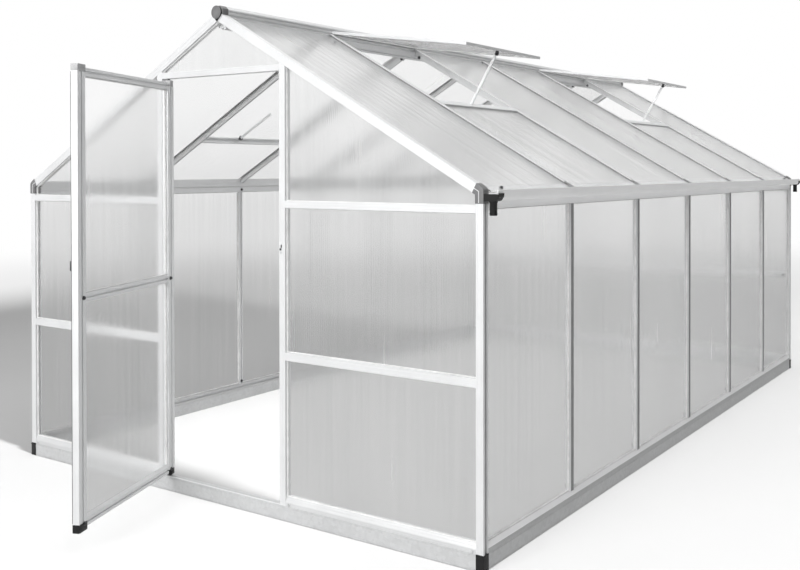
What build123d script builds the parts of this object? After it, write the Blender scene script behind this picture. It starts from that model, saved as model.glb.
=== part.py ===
"""Polycarbonate greenhouse with an aluminium frame, open roof vents and a hinged door.

+X runs to the right seen from the door, +Y to the back gable, +Z up, in millimetres.
The origin is the middle of the doorway, under the front base rail.
"""
import os
from math import atan, cos, hypot, radians, sin
from build123d import *

# Overall size
width = 2500.0                 # over the side wall faces
length = 3610.0                # over the gable faces
ridge_height = 1950.0          # ground to the top of the ridge
eave_height = 1250.0           # roof surface above the side wall face
ridge_rise = 21.0              # ridge top above the point where the two roof planes meet
bays = 6                       # glazing bays along each side
vent_bays = (2, 5)             # bays that hold a roof vent, counted from the door

# Frame profiles
frame_size = 30.0              # corner posts, jambs, gable rails and rafters, square
bar_width = 22.0               # glazing bars, seen from outside
bar_depth = 25.0               # glazing bars, through the wall
rafter_depth = 33.0            # rafters and roof bars, square to the roof
mitre_gap = 1.0                # between the two rafters under the ridge cap
seat_gap = 0.3                 # running and resting clearance

# Twin wall sheets
sheet = 4.0
wall_setback = 10.0            # gable sheets behind the frame's outer face
side_setback = 9.5             # side wall sheets behind the frame's outer face
roof_setback = 5.0             # sheet under the roof bars' tops
eave_overhang = 8.0            # roof sheets past the wall face, over the gutter

# Base, sill and posts
base_height = 57.0
sill_step = 15.0               # upright lower part of the sill rail
sill_height = 34.0
sill_slope_run = 8.0           # the sill's face leans in by this much above the step
cap_proud = 2.0                # plastic caps stand out past the metal
post_drop = 50.0               # post's top under the roof surface at the eaves

# Eaves and gutters
eave_beam_height = 67.0        # beam's underside under the roof surface
eave_cap_reach = 44.0          # along the gable, from the wall face
eave_cap_lip = 6.0             # above the rafter
gutter_reach = 58.0
gutter_drop = 40.0             # gutter's underside under the roof surface
gutter_height = 36.0
gutter_wall = 3.0
gutter_chamfer = 9.0
spout_radius = 12.5
spout_wall = 2.5
spout_length = 48.0
left_gutter_setback = 50.0     # left gutter starts behind the front corner cap

# Ridge
ridge_half = 29.0
ridge_flat_half = 14.0         # half of the flat top
ridge_shoulder = 12.0          # height of the slanted shoulders
ridge_depth = 88.0
ridge_keel_half = 12.0         # half of the flat underside
ridge_keel = 10.0              # height of the slanted underside
ridge_cap_plate = 8.0          # cap in front of the gable face
ridge_cap_tip = 62.0           # cap's lower point under the ridge top
ridge_cap_drop = 46.0          # cap's straight side under the ridge top

# Gables
doorway_half = 332.0
mid_rail_drop = 650.0          # middle rail's underside under the eaves
mid_rail_height = 30.0
eave_rail_drop = 82.0          # upper rail's underside under the eaves
eave_rail_height = 26.0
header_clear = 7.0             # header under the rafters at the doorway's edges
header_height = 24.0

# Roof vents
right_vent_opening = 700.0     # down the slope from the ridge line to the sill
left_vent_opening = 967.0
vent_open_deg = 21.0           # right vents stand open, left vents are shut
sill_bar_width = 20.0
sill_bar_depth = 25.0
right_vent_overlap = 66.0      # vent past the middle of its sill
left_vent_overlap = 20.0
vent_thickness = 12.0
vent_bar = 16.0
vent_side_bar = 12.0
vent_side_gap = 6.0            # between vents and the middle of the bars beside them
vent_pane_lift = 3.0           # pane above the vent's underside
right_bracket_inset = 8.0      # stay bracket from the vent's lower edge
left_bracket_inset = 42.0
bracket_length = 14.0
bracket_width = 6.0
bracket_drop = 18.0
stay_width = 12.0
stay_thickness = 4.0
stay_pivot_drop = 10.0         # stay's pivot under the vent
stay_shift = 55.0              # stay in front of the vent's middle

# Door
door_rest_deg = 66.0           # open at rest
pivot_inset = 25.0             # pivot axis from the hinge jamb
door_gap = 6.0                 # round the shut leaf
stile_width = 45.0
pivot_edge = 15.0              # pivot axis from the hinge stile's outer edge
door_thickness = 24.0
rail_thickness = 20.0
door_rail_height = 30.0
door_mid_rail = 868.0          # middle rail's centre above the ground
pivot_block_height = 25.0
pin_radius = 5.0
pin_depth = 14.0               # pin inside its block
free_cap_height = 18.0
free_cap_proud = 1.0
latch_height = 966.0
latch_plate_width = 18.0
latch_plate_height = 46.0
latch_plate_thickness = 3.0
latch_boss_radius = 6.0
latch_boss_length = 9.0
latch_lever_width = 12.0
latch_lever_length = 34.0
latch_lever_thickness = 6.0
keeper_height = 999.0
keeper_length = 41.0
keeper_width = 12.0
keeper_thickness = 4.0
keeper_inset = 4.0             # keeper from the jamb's doorway edge

# Opening, overlap past the sill, bracket's place, bracket's top above the vent's underside, tilt
right_vent = (right_vent_opening, right_vent_overlap, right_bracket_inset, 0, vent_open_deg)
left_vent = (left_vent_opening, left_vent_overlap, left_bracket_inset, vent_pane_lift, 0)

# Worked out from the sizes above
half_width = width / 2
front = -frame_size / 2
back = front + length
bay = length / bays
apex = ridge_height - ridge_rise
roof_tan = (apex - eave_height) / half_width
roof_angle = atan(roof_tan)
upright = 1 / cos(roof_angle)              # turns a depth square to the roof into a height
rafter_drop = rafter_depth * upright
sheet_top_drop = roof_setback * upright
sheet_drop = (roof_setback + sheet) * upright
post_inner = half_width - frame_size
post_top = eave_height - post_drop
eave_beam_bottom = eave_height - eave_beam_height
gutter_bottom = eave_height - gutter_drop
mid_rail_bottom = eave_height - mid_rail_drop
eave_rail_bottom = eave_height - eave_rail_drop
sill_top = base_height + sill_height
mid_rail_top = mid_rail_bottom + mid_rail_height
eave_rail_top = eave_rail_bottom + eave_rail_height
header_top = apex - doorway_half * roof_tan - rafter_drop - header_clear
header_bottom = header_top - header_height
jamb_outer = doorway_half + frame_size
cap_inner = half_width - eave_cap_reach
bar_places = [front + number * bay for number in range(1, bays)]
sheet_front = front + wall_setback


def roof(x):
    """Height of the roof bars' top plane at x."""
    return apex - abs(x) * roof_tan


def block(x0, x1, y0, y1, z0, z1):
    """Box between two corners."""
    middle = Pos((x0 + x1) / 2, (y0 + y1) / 2, (z0 + z1) / 2)
    return middle * Box(x1 - x0, y1 - y0, z1 - z0)


def along_y(points, y0, y1):
    """Outline of (x, z) points run from y0 to y1."""
    plane = Plane(origin=(0, y1, 0), x_dir=(1, 0, 0), z_dir=(0, -1, 0))
    return extrude(plane * make_face(Polyline(*points, close=True)), amount=y1 - y0)


def along_x(points, x0, x1):
    """Outline of (y, z) points run from x0 to x1."""
    plane = Plane(origin=(x0, 0, 0), x_dir=(0, 1, 0), z_dir=(1, 0, 0))
    return extrude(plane * make_face(Polyline(*points, close=True)), amount=x1 - x0)


def other_side(solids):
    """The same pieces on the left of the greenhouse."""
    return [mirror(solid, about=Plane.YZ) for solid in solids]


def both_sides(solids):
    return solids + other_side(solids)


def other_gable(solids):
    """The same pieces on the back gable."""
    middle = Plane(origin=(0, (front + back) / 2, 0), x_dir=(1, 0, 0), z_dir=(0, 1, 0))
    return [mirror(solid, about=middle) for solid in solids]


def sloped(x0, x1, y0, y1, lift, depth):
    """Piece that follows the right roof slope, between two upright cuts."""
    outline = [(x0, roof(x0) + lift), (x1, roof(x1) + lift),
               (x1, roof(x1) + lift - depth), (x0, roof(x0) + lift - depth)]
    return along_y(outline, y0, y1)


def bay_edges(number):
    """Start and end of a side bay, between the bars beside it."""
    start = front + frame_size if number == 1 else bar_places[number - 2] + bar_width / 2
    end = back - frame_size if number == bays else bar_places[number - 1] - bar_width / 2
    return start, end


# Base and posts
def base_rails():
    gable = block(-post_inner, post_inner, front, front + frame_size, 0, base_height)
    side = block(post_inner, half_width, front + frame_size, back - frame_size, 0, base_height)
    return {"front_base_rail": [gable], "back_base_rail": other_gable([gable]),
            "right_base_rail": [side], "left_base_rail": other_side([side])}


def corner_pieces():
    cap = block(post_inner, half_width + cap_proud, front - cap_proud, front + frame_size,
                0, base_height)
    post = block(post_inner, half_width, front, front + frame_size, base_height, post_top)
    caps = both_sides([cap])
    posts = both_sides([post])
    return {"base_corner_caps": caps + other_gable(caps),
            "corner_posts": posts + other_gable(posts)}


def sill_outline(outer, inward):
    """Sill rail section, from its outer face towards the inside."""
    return [(outer, base_height), (outer, base_height + sill_step),
            (outer + inward * sill_slope_run, sill_top),
            (outer + inward * frame_size, sill_top), (outer + inward * frame_size, base_height)]


def sill_rails():
    gable = sill_outline(front, 1)
    gable_side = both_sides([along_x(gable, jamb_outer, post_inner)])
    middle = along_x(gable, -doorway_half, doorway_half)
    side = along_y(sill_outline(half_width, -1), front + frame_size, back - frame_size)
    return {"front_sill_rails": gable_side, "back_sill_rails": other_gable(gable_side + [middle]),
            "right_sill_rail": [side], "left_sill_rail": other_side([side])}


# Side walls
def wall_bars():
    bars = [block(half_width - bar_depth, half_width, place - bar_width / 2,
                  place + bar_width / 2, sill_top, eave_beam_bottom) for place in bar_places]
    return {"right_wall_bars": bars, "left_wall_bars": other_side(bars)}


def wall_panels():
    face = half_width - side_setback
    panels = []
    for number in range(1, bays + 1):
        start, end = bay_edges(number)
        panels.append(block(face - sheet, face, start, end, sill_top, eave_beam_bottom))
    return {"right_wall_panels": panels, "left_wall_panels": other_side(panels)}


# Eaves
def eave_beams():
    outline = [(post_inner, eave_beam_bottom), (half_width, eave_beam_bottom),
               (half_width, roof(half_width) - sheet_drop),
               (post_inner, roof(post_inner) - sheet_drop)]
    beam = along_y(outline, front + frame_size, back - frame_size)
    return {"right_eave_beam": [beam], "left_eave_beam": other_side([beam])}


def eave_caps():
    outer = half_width + cap_proud
    outline = [(post_inner, post_top), (outer, post_top), (outer, roof(half_width) + eave_cap_lip),
               (cap_inner, roof(cap_inner) + eave_cap_lip), (cap_inner, roof(cap_inner) - rafter_drop),
               (post_inner, roof(post_inner) - rafter_drop)]
    caps = both_sides([along_y(outline, front - cap_proud, front + frame_size)])
    return {"eave_corner_caps": caps + other_gable(caps)}


def gutter_face_outline():
    """Outer wall of the trough with its slanted lower corner."""
    outer = half_width + gutter_reach
    top = gutter_bottom + gutter_height
    corner = gutter_chamfer - gutter_wall / 2
    inner = outer - gutter_wall
    return [(outer - gutter_chamfer, gutter_bottom), (outer, gutter_bottom + gutter_chamfer),
            (outer, top), (inner, top), (inner, gutter_bottom + gutter_wall + corner),
            (inner - corner, gutter_bottom + gutter_wall)]


def gutter_floor_outline(inner):
    """Trough's floor, from the wall's side to the slanted corner."""
    outer = half_width + gutter_reach
    corner = gutter_chamfer - gutter_wall / 2
    return [(inner, gutter_bottom), (outer - gutter_chamfer, gutter_bottom),
            (outer - gutter_wall - corner, gutter_bottom + gutter_wall),
            (inner, gutter_bottom + gutter_wall)]


def gutters():
    """Floor and face are two pieces of one trough."""
    end = back - frame_size

    def trough(start):
        return (along_y(gutter_floor_outline(half_width), start, end),
                along_y(gutter_face_outline(), start, end))

    floor, face = trough(front + frame_size)
    left_floor, left_face = trough(front + frame_size + left_gutter_setback)
    return {"right_gutter_floor": [floor], "left_gutter_floor": other_side([left_floor]),
            "right_gutter_face": [face], "left_gutter_face": other_side([left_face])}


def gutter_ends():
    """End troughs of the gutters; an outlet beside a corner cap has a spout, a plain end has none."""
    def trough_end(inner, start):
        end = along_y(gutter_floor_outline(inner), start, start + frame_size)
        end += along_y(gutter_face_outline(), start, start + frame_size)
        return end + block(inner, half_width + gutter_reach - gutter_chamfer, start, start + gutter_wall,
                           gutter_bottom, wall_top)

    wall_top = roof(half_width + eave_overhang) - sheet_drop - seat_gap
    inner = half_width + cap_proud
    spout_place = Pos((inner + half_width + gutter_reach) / 2, 0, gutter_bottom - spout_length / 2)
    bore_length = spout_length + gutter_height
    spout = spout_place * Cylinder(spout_radius, spout_length)
    bore = spout_place * Cylinder(spout_radius - spout_wall, bore_length)
    outlet = trough_end(inner, front) + spout - bore
    right = [outlet] + other_gable([outlet])
    left_back = other_side(other_gable([outlet]))
    plain = trough_end(half_width, front + left_gutter_setback)
    return {"gutter_outlets": right + left_back, "gutter_end_cap": other_side([plain])}


# Roof frame
def ridge_outline(bottom_points):
    """Ridge section above its underside."""
    shoulder = ridge_height - ridge_shoulder
    return bottom_points + [(ridge_half, shoulder), (ridge_flat_half, ridge_height),
                            (-ridge_flat_half, ridge_height), (-ridge_half, shoulder)]


def ridge_pieces():
    side_bottom = ridge_height - ridge_depth + ridge_keel
    keel = ridge_height - ridge_depth
    under = [(-ridge_half, side_bottom), (-ridge_keel_half, keel),
             (ridge_keel_half, keel), (ridge_half, side_bottom)]
    beam = along_y(ridge_outline(under), front + frame_size, back - frame_size)
    saddle = [(-ridge_half, roof(ridge_half)), (0, apex), (ridge_half, roof(ridge_half))]
    hood = along_y(ridge_outline(saddle), front, front + frame_size)
    side_end = ridge_height - ridge_cap_drop
    point = [(-ridge_half, side_end), (0, ridge_height - ridge_cap_tip), (ridge_half, side_end)]
    plate = along_y(ridge_outline(point), front - ridge_cap_plate, front)
    cap = hood + plate
    return {"ridge_beam": [beam], "ridge_caps": [cap] + other_gable([cap])}


def rafters():
    rafter = sloped(mitre_gap / 2, cap_inner, front, front + frame_size, 0, rafter_drop)
    pair = both_sides([rafter])
    return {"front_rafters": pair, "back_rafters": other_gable(pair)}


def roof_bars():
    bars = [sloped(ridge_half, post_inner, place - bar_width / 2, place + bar_width / 2,
                   0, rafter_drop) for place in bar_places]
    return {"right_roof_bars": bars, "left_roof_bars": other_side(bars)}


def roof_panels(vent_opening):
    """Sheets of one slope; in a vent bay the sheet starts at the vent's sill."""
    sill_end = vent_opening * cos(roof_angle) + sill_bar_width / 2
    panels = []
    for number in range(1, bays + 1):
        start, end = bay_edges(number)
        top = sill_end if number in vent_bays else ridge_half
        panels.append(sloped(top, half_width + eave_overhang, start, end,
                             -sheet_top_drop, sheet * upright))
    return panels


# Gables
def gable_frame():
    edge = front + frame_size
    post_outline = [(doorway_half, base_height), (jamb_outer, base_height),
                    (jamb_outer, roof(jamb_outer) - rafter_drop),
                    (doorway_half, roof(doorway_half) - rafter_drop)]
    jambs = both_sides([along_y(post_outline, front, edge)])
    header = block(-doorway_half, doorway_half, front, edge, header_bottom, header_top)
    rails = both_sides([block(jamb_outer, post_inner, front, edge, mid_rail_bottom, mid_rail_top),
                        block(jamb_outer, post_inner, front, edge, eave_rail_bottom, eave_rail_top)])
    middle = [block(-doorway_half, doorway_half, front, edge, mid_rail_bottom, mid_rail_top),
              block(-doorway_half, doorway_half, front, edge, eave_rail_bottom, eave_rail_top)]
    return {"door_jambs": jambs, "door_header": [header], "front_rails": rails,
            "back_gable_posts": other_gable(jambs), "back_rails": other_gable(rails + middle)}


def gable_panels():
    rear = sheet_front + sheet

    def field(x0, x1):
        return [block(x0, x1, sheet_front, rear, sill_top, mid_rail_bottom),
                block(x0, x1, sheet_front, rear, mid_rail_top, eave_rail_bottom)]

    def under_roof(bottom, x0, x1):
        return [(x0, bottom), (x1, bottom), (x1, roof(x1) - rafter_drop), (x0, roof(x0) - rafter_drop)]

    def peak(bottom):
        edge = roof(doorway_half) - rafter_drop
        return [(-doorway_half, bottom), (doorway_half, bottom), (doorway_half, edge),
                (0, apex - rafter_drop), (-doorway_half, edge)]

    sides = both_sides(field(jamb_outer, post_inner))
    corners = both_sides([along_y(under_roof(eave_rail_top, jamb_outer, post_inner), sheet_front, rear)])
    over_door = along_y(peak(header_top), sheet_front, rear)
    back_middle = along_y(peak(eave_rail_top), sheet_front, rear)
    return {"front_panels": sides, "front_gable_panels": corners + [over_door],
            "back_panels": other_gable(sides + field(-doorway_half, doorway_half)),
            "back_gable_panels": other_gable(corners + [back_middle])}


# Roof vents, drawn on the right slope
def vent_frame(vent):
    """Vent hinged beside the ridge: its point finder, its length and its sill's place."""
    vent_opening, overlap, _, _, open_deg = vent
    tilt = roof_angle - radians(open_deg)
    hinge_x = ridge_half + seat_gap
    hinge_z = roof(hinge_x) + seat_gap * upright

    def at(down, lift):
        """Point of the vent: down from its hinge line and up from its underside."""
        return (hinge_x + down * cos(tilt) + lift * sin(tilt),
                hinge_z - down * sin(tilt) + lift * cos(tilt))

    vent_length = vent_opening - hinge_x * upright + overlap
    return at, vent_length, vent_opening * cos(roof_angle)


def stay_line(vent):
    """Stay's pivot and foot: the foot is on the sill, or up along a vent that is shut."""
    _, _, bracket_inset, _, open_deg = vent
    at, vent_length, sill_x = vent_frame(vent)
    pivot_down = vent_length - bracket_inset
    pivot = at(pivot_down, -stay_pivot_drop)
    if open_deg:
        return pivot, (sill_x, roof(sill_x) + seat_gap * upright)
    open_pivot, open_foot = stay_line(right_vent)
    reach = hypot(open_pivot[0] - open_foot[0], open_pivot[1] - open_foot[1])
    return pivot, at(pivot_down - reach, -stay_pivot_drop)


def stay_outline(vent):
    """Flat bar along the stay's line; a foot on the sill is cut to the sill's slope."""
    pivot, foot = stay_line(vent)
    run = hypot(foot[0] - pivot[0], foot[1] - pivot[1])
    step = ((foot[0] - pivot[0]) / run, (foot[1] - pivot[1]) / run)
    across = (-step[1] * stay_width / 2, step[0] * stay_width / 2)
    tops = [(pivot[0] + side * across[0], pivot[1] + side * across[1]) for side in (-1, 1)]
    ends = []
    for x, z in tops:
        reach = run
        if vent is right_vent:
            reach = (roof(x) + seat_gap * upright - z) / (step[1] + roof_tan * step[0])
        ends.append((x + reach * step[0], z + reach * step[1]))
    return [tops[0], tops[1], ends[1], ends[0]]


def vent_set(vent):
    """All the pieces of one slope's vents, one vent in each vent bay."""
    _, _, bracket_inset, bracket_seat, _ = vent
    at, vent_length, sill_x = vent_frame(vent)
    inner_end = vent_length - vent_bar
    bracket_top = vent_length - bracket_inset - bracket_length / 2

    def strip(down0, down1, lift0, lift1, y0, y1):
        return along_y([at(down0, lift0), at(down1, lift0), at(down1, lift1), at(down0, lift1)], y0, y1)

    pieces = {name: [] for name in ("vent_sills", "vent_hinge_bars", "vent_edge_bars", "vent_side_bars",
                                    "vent_panes", "vent_stay_brackets", "vent_stays")}
    for number in vent_bays:
        start, end = bay_edges(number)
        y0 = bar_places[number - 2] + vent_side_gap
        y1 = bar_places[number - 1] - vent_side_gap
        stay_y = (y0 + y1) / 2 - stay_shift
        pieces["vent_sills"].append(sloped(sill_x - sill_bar_width / 2, sill_x + sill_bar_width / 2,
                                           start, end, 0, sill_bar_depth * upright))
        pieces["vent_hinge_bars"].append(strip(0, vent_bar, 0, vent_thickness, y0, y1))
        pieces["vent_edge_bars"].append(strip(inner_end, vent_length, 0, vent_thickness, y0, y1))
        for side in (y0, y1 - vent_side_bar):
            pieces["vent_side_bars"].append(strip(vent_bar, inner_end, 0, vent_thickness,
                                                  side, side + vent_side_bar))
        pieces["vent_panes"].append(strip(vent_bar, inner_end, vent_pane_lift, vent_pane_lift + sheet,
                                          y0 + vent_side_bar, y1 - vent_side_bar))
        pieces["vent_stay_brackets"].append(strip(bracket_top, bracket_top + bracket_length, -bracket_drop,
                                                  bracket_seat, stay_y, stay_y + bracket_width))
        pieces["vent_stays"].append(along_y(stay_outline(vent), stay_y - stay_thickness, stay_y))
    return pieces


def vents():
    right = vent_set(right_vent)
    left = vent_set(left_vent)
    return {name: right[name] + other_side(left[name]) for name in right}


# Door, drawn shut with its pivot axis at the local origin, then swung open
pivot_x = -doorway_half + pivot_inset
door_bottom = base_height + door_gap
door_top = header_bottom - door_gap
leaf_reach = doorway_half - door_gap - pivot_x
stile_inner = leaf_reach - stile_width
hinge_inner = stile_width - pivot_edge


def swung(solids):
    return [Pos(pivot_x, 0, 0) * Rot(0, 0, -door_rest_deg) * solid for solid in solids]


def door_frame():
    half = door_thickness / 2
    hinge = block(-pivot_edge, hinge_inner, -half, half, door_bottom + pivot_block_height,
                  door_top - pivot_block_height)
    free = block(stile_inner, leaf_reach, -half, half, door_bottom + free_cap_height,
                 door_top - free_cap_height)
    rail_half = rail_thickness / 2
    rails = [block(hinge_inner, stile_inner, -rail_half, rail_half, low, low + door_rail_height)
             for low in (door_bottom + pivot_block_height - door_rail_height / 2,
                         door_mid_rail - door_rail_height / 2,
                         door_top - pivot_block_height - door_rail_height / 2)]
    return {"door_hinge_stile": [hinge], "door_free_stile": [free], "door_rails": rails}


def door_panels():
    low = door_bottom + pivot_block_height + door_rail_height / 2
    high = door_top - pivot_block_height - door_rail_height / 2
    spans = [(low, door_mid_rail - door_rail_height / 2), (door_mid_rail + door_rail_height / 2, high)]
    panels = [block(hinge_inner, stile_inner, -sheet / 2, sheet / 2, z0, z1) for z0, z1 in spans]
    return {"door_panels": panels}


def door_fittings():
    half = door_thickness / 2
    hole = pin_radius + seat_gap
    hole_depth = pin_depth + seat_gap
    low = block(-half, half, -half, half, door_bottom, door_bottom + pivot_block_height)
    low -= Pos(0, 0, door_bottom + hole_depth / 2) * Cylinder(hole, hole_depth)
    high = block(-half, half, -half, half, door_top - pivot_block_height, door_top)
    high -= Pos(0, 0, door_top - hole_depth / 2) * Cylinder(hole, hole_depth)
    cap_half = half + free_cap_proud
    caps = [block(stile_inner, leaf_reach, -cap_half, cap_half, z0, z0 + free_cap_height)
            for z0 in (door_bottom, door_top - free_cap_height)]
    middle = leaf_reach - stile_width / 2
    plate = block(middle - latch_plate_width / 2, middle + latch_plate_width / 2,
                  -half - latch_plate_thickness, -half,
                  latch_height - latch_plate_height / 2, latch_height + latch_plate_height / 2)
    face = -half - latch_plate_thickness
    boss = Pos(middle, face - latch_boss_length / 2, latch_height) * Rot(90, 0, 0) * Cylinder(
        latch_boss_radius, latch_boss_length)
    tip = face - latch_boss_length
    lever = block(middle - latch_lever_width / 2, middle + latch_lever_width / 2,
                  tip - latch_lever_thickness, tip,
                  latch_height - latch_lever_width / 2,
                  latch_height - latch_lever_width / 2 + latch_lever_length)
    return {"door_pivot_blocks": [low, high], "door_corner_caps": caps,
            "door_latch": [plate + boss + lever]}


def door_seats():
    """Fixed pivot pins in the threshold and header, and the latch keeper on the free jamb."""
    pin_length = door_gap + pin_depth
    pins = [Pos(pivot_x, 0, base_height + pin_length / 2) * Cylinder(pin_radius, pin_length),
            Pos(pivot_x, 0, header_bottom - pin_length / 2) * Cylinder(pin_radius, pin_length)]
    edge = doorway_half + keeper_inset
    keeper = block(edge, edge + keeper_width, front - keeper_thickness, front,
                   keeper_height, keeper_height + keeper_length)
    return {"door_pivot_pins": pins, "latch_keeper": [keeper]}


def write(pieces):
    """One file for each node."""
    os.makedirs("parts", exist_ok=True)
    for name, solids in pieces.items():
        whole = solids[0] if len(solids) == 1 else Compound(children=solids)
        export_step(whole, f"parts/{name}.step")


for group in (base_rails(), corner_pieces(), sill_rails(), wall_bars(), wall_panels(), eave_beams(),
              eave_caps(), gutters(), gutter_ends(), ridge_pieces(), rafters(), roof_bars(),
              {"right_roof_panels": roof_panels(right_vent_opening),
               "left_roof_panels": other_side(roof_panels(left_vent_opening))},
              gable_frame(), gable_panels(), vents(), door_seats()):
    write(group)
for group in (door_frame(), door_panels(), door_fittings()):
    write({name: swung(solids) for name, solids in group.items()})
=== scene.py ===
"""Polycarbonate greenhouse: profiles, twin-wall sheets, caps, gutters, vents and door on the CAD frame."""
import math

import bmesh
import bpy
from bpy.props import FloatProperty, FloatVectorProperty, IntProperty, PointerProperty
from mathutils import Matrix, Vector


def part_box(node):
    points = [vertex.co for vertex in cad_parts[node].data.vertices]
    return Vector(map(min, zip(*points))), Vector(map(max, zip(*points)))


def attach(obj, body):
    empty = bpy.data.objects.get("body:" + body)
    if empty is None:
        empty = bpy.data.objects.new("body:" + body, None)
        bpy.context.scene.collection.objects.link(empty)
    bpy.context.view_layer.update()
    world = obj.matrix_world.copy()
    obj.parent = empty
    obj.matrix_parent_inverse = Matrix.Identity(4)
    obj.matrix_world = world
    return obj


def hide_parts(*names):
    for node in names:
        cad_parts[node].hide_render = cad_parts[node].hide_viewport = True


bl_info = {
    "name": "Polycarbonate greenhouse",
    "version": (1, 0, 0),
    "blender": (4, 5, 0),
    "location": "View3D > Sidebar > Greenhouse",
    "description": "Builds the visible pieces of a garden greenhouse on its CAD frame",
    "category": "Object",
}

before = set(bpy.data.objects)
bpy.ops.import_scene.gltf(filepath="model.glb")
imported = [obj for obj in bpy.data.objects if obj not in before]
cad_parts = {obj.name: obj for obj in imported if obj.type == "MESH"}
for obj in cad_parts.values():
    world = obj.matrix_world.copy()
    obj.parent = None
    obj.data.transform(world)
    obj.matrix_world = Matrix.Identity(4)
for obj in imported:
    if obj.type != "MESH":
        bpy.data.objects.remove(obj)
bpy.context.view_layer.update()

LEFT, RIGHT = Vector((-1, 0, 0)), Vector((1, 0, 0))
FRONT, BACK = Vector((0, -1, 0)), Vector((0, 1, 0))
UP = Vector((0, 0, 1))
FIXED, SWINGING = "greenhouse", "door"
MIDDLE_Y = (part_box("front_base_rail")[0].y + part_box("back_base_rail")[1].y) / 2
LATCH_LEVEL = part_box("door_latch")[0].z

# The slope of the roof: its sheets' box also holds their thickness, measured upright
ROOF_LOW, ROOF_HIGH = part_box("right_roof_panels")
SHEET_UPRIGHT = 0.00455
ROOF_RISE = (ROOF_HIGH.z - ROOF_LOW.z - SHEET_UPRIGHT) / (ROOF_HIGH.x - ROOF_LOW.x)

# Tolerances for reading the CAD solids
SAME_POINT = 1e-5
SAME_PLANE = math.radians(0.5)
SAME_LEVEL = 0.0005
ALONG_BAR, ACROSS_BAR = 0.05, 0.2
SQUARE = 0.01

# Share of a groove's width that its floor keeps
LINE_FLOOR, SLOT_FLOOR = 0.3, 0.9


# Settings

def length_prop(name, description, default):
    return FloatProperty(name=name, description=description, default=default, min=0.0, precision=5,
                         unit="LENGTH")


def colour_prop(name, description, default):
    return FloatVectorProperty(name=name, description=description, default=default, subtype="COLOR",
                               size=3, min=0.0, max=1.0)


def share_prop(name, description, default):
    return FloatProperty(name=name, description=description, default=default, min=0.0, max=1.0,
                         subtype="FACTOR")


def light_prop(name, description, default, unit="NONE"):
    return FloatProperty(name=name, description=description, default=default, min=0.0, unit=unit)


class GreenhouseProfiles(bpy.types.PropertyGroup):
    edge: length_prop("Profile edge", "Softening of the extruded corners", 0.0009)
    line_width: length_prop("Profile line", "Width of the fine lines in the frame's faces", 0.0022)
    line_depth: length_prop("Line depth", "Depth of the fine lines", 0.0009)
    slot_width: length_prop("Bolt slot", "Width of the bolt slot in the inner faces", 0.007)
    slot_depth: length_prop("Slot depth", "Depth of the bolt slot", 0.006)
    flange: length_prop("Bar flange", "Thickness of the roof bars' outer flange", 0.0048)
    web: length_prop("Bar web", "Thickness of the roof bars' web", 0.006)
    bulb: length_prop("Bar bulb", "Width of the bolt channel on the roof bars' inner edge", 0.0105)
    # Thin strips laid on the frame: the dark ones on wall bars and in the posts' channels are painted shade,
    # the pale ones on eave faces and sill slopes are painted light
    cover: length_prop("Bar cover", "Thickness of the strips on bars, posts and sills", 0.0012)
    painted_strip_inset: length_prop("Cover inset", "Distance of the strips from the bars' edges", 0.00125)
    post_inset: length_prop("Post strip inset", "Distance of the strips from the posts' edges", 0.00875)
    post_channel: length_prop("Post channel", "Depth of the posts' side channels", 0.006)
    ridge_groove: length_prop("Ridge groove", "Width of the grooves along the ridge", 0.009)
    ridge_groove_depth: length_prop("Ridge groove depth", "Depth of the ridge grooves", 0.0045)
    gutter_wall: length_prop("Gutter wall", "Thickness of the gutter trough", 0.0022)
    gutter_bend: length_prop("Gutter bend", "Radius of the gutter's lower corner", 0.016)
    gutter_lip: length_prop("Gutter lip", "Width of the gutter's folded lip", 0.006)


class GreenhouseSheets(bpy.types.PropertyGroup):
    pitch: length_prop("Flute pitch", "Distance between the webs of the twin-wall sheet", 0.010)
    ripple: length_prop("Flute ripple", "Height of the skin's ripple between the webs", 0.00022)
    overlap: length_prop("Sheet overlap", "How far the sheets reach into the profiles", 0.002)
    roof_overlap: length_prop("Roof overlap", "How far the roof sheets reach under the bars' flanges", 0.0072)
    # The roof seals also paint the shadow line beside each bar
    seal: length_prop("Seal", "Radius of the seals along the roof bars", 0.002)
    bead: length_prop("Glazing bead", "Radius of the bead round each sheet", 0.0024)
    haze: share_prop("Haze", "Roughness of the light that passes the sheet", 0.2)
    clearness: share_prop("Clearness", "Share of the light that the sheet lets through", 0.985)


class GreenhouseFittings(bpy.types.PropertyGroup):
    bolt: length_prop("Bolt head", "Radius of the hexagon bolt heads", 0.0055)
    bolt_height: length_prop("Bolt height", "Height of the bolt heads", 0.0042)
    washer: length_prop("Washer", "Radius of the washers", 0.0075)
    cap_edge: length_prop("Cap edge", "Rounding of the plastic caps", 0.0022)
    rib: length_prop("Cap line", "Width of the pale line on the eave caps", 0.0034)
    stay_hole: length_prop("Stay hole", "Radius of the holes in the vent stays", 0.0026)
    stay_pitch: length_prop("Stay hole spacing", "Distance between the holes in the vent stays", 0.026)


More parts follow.
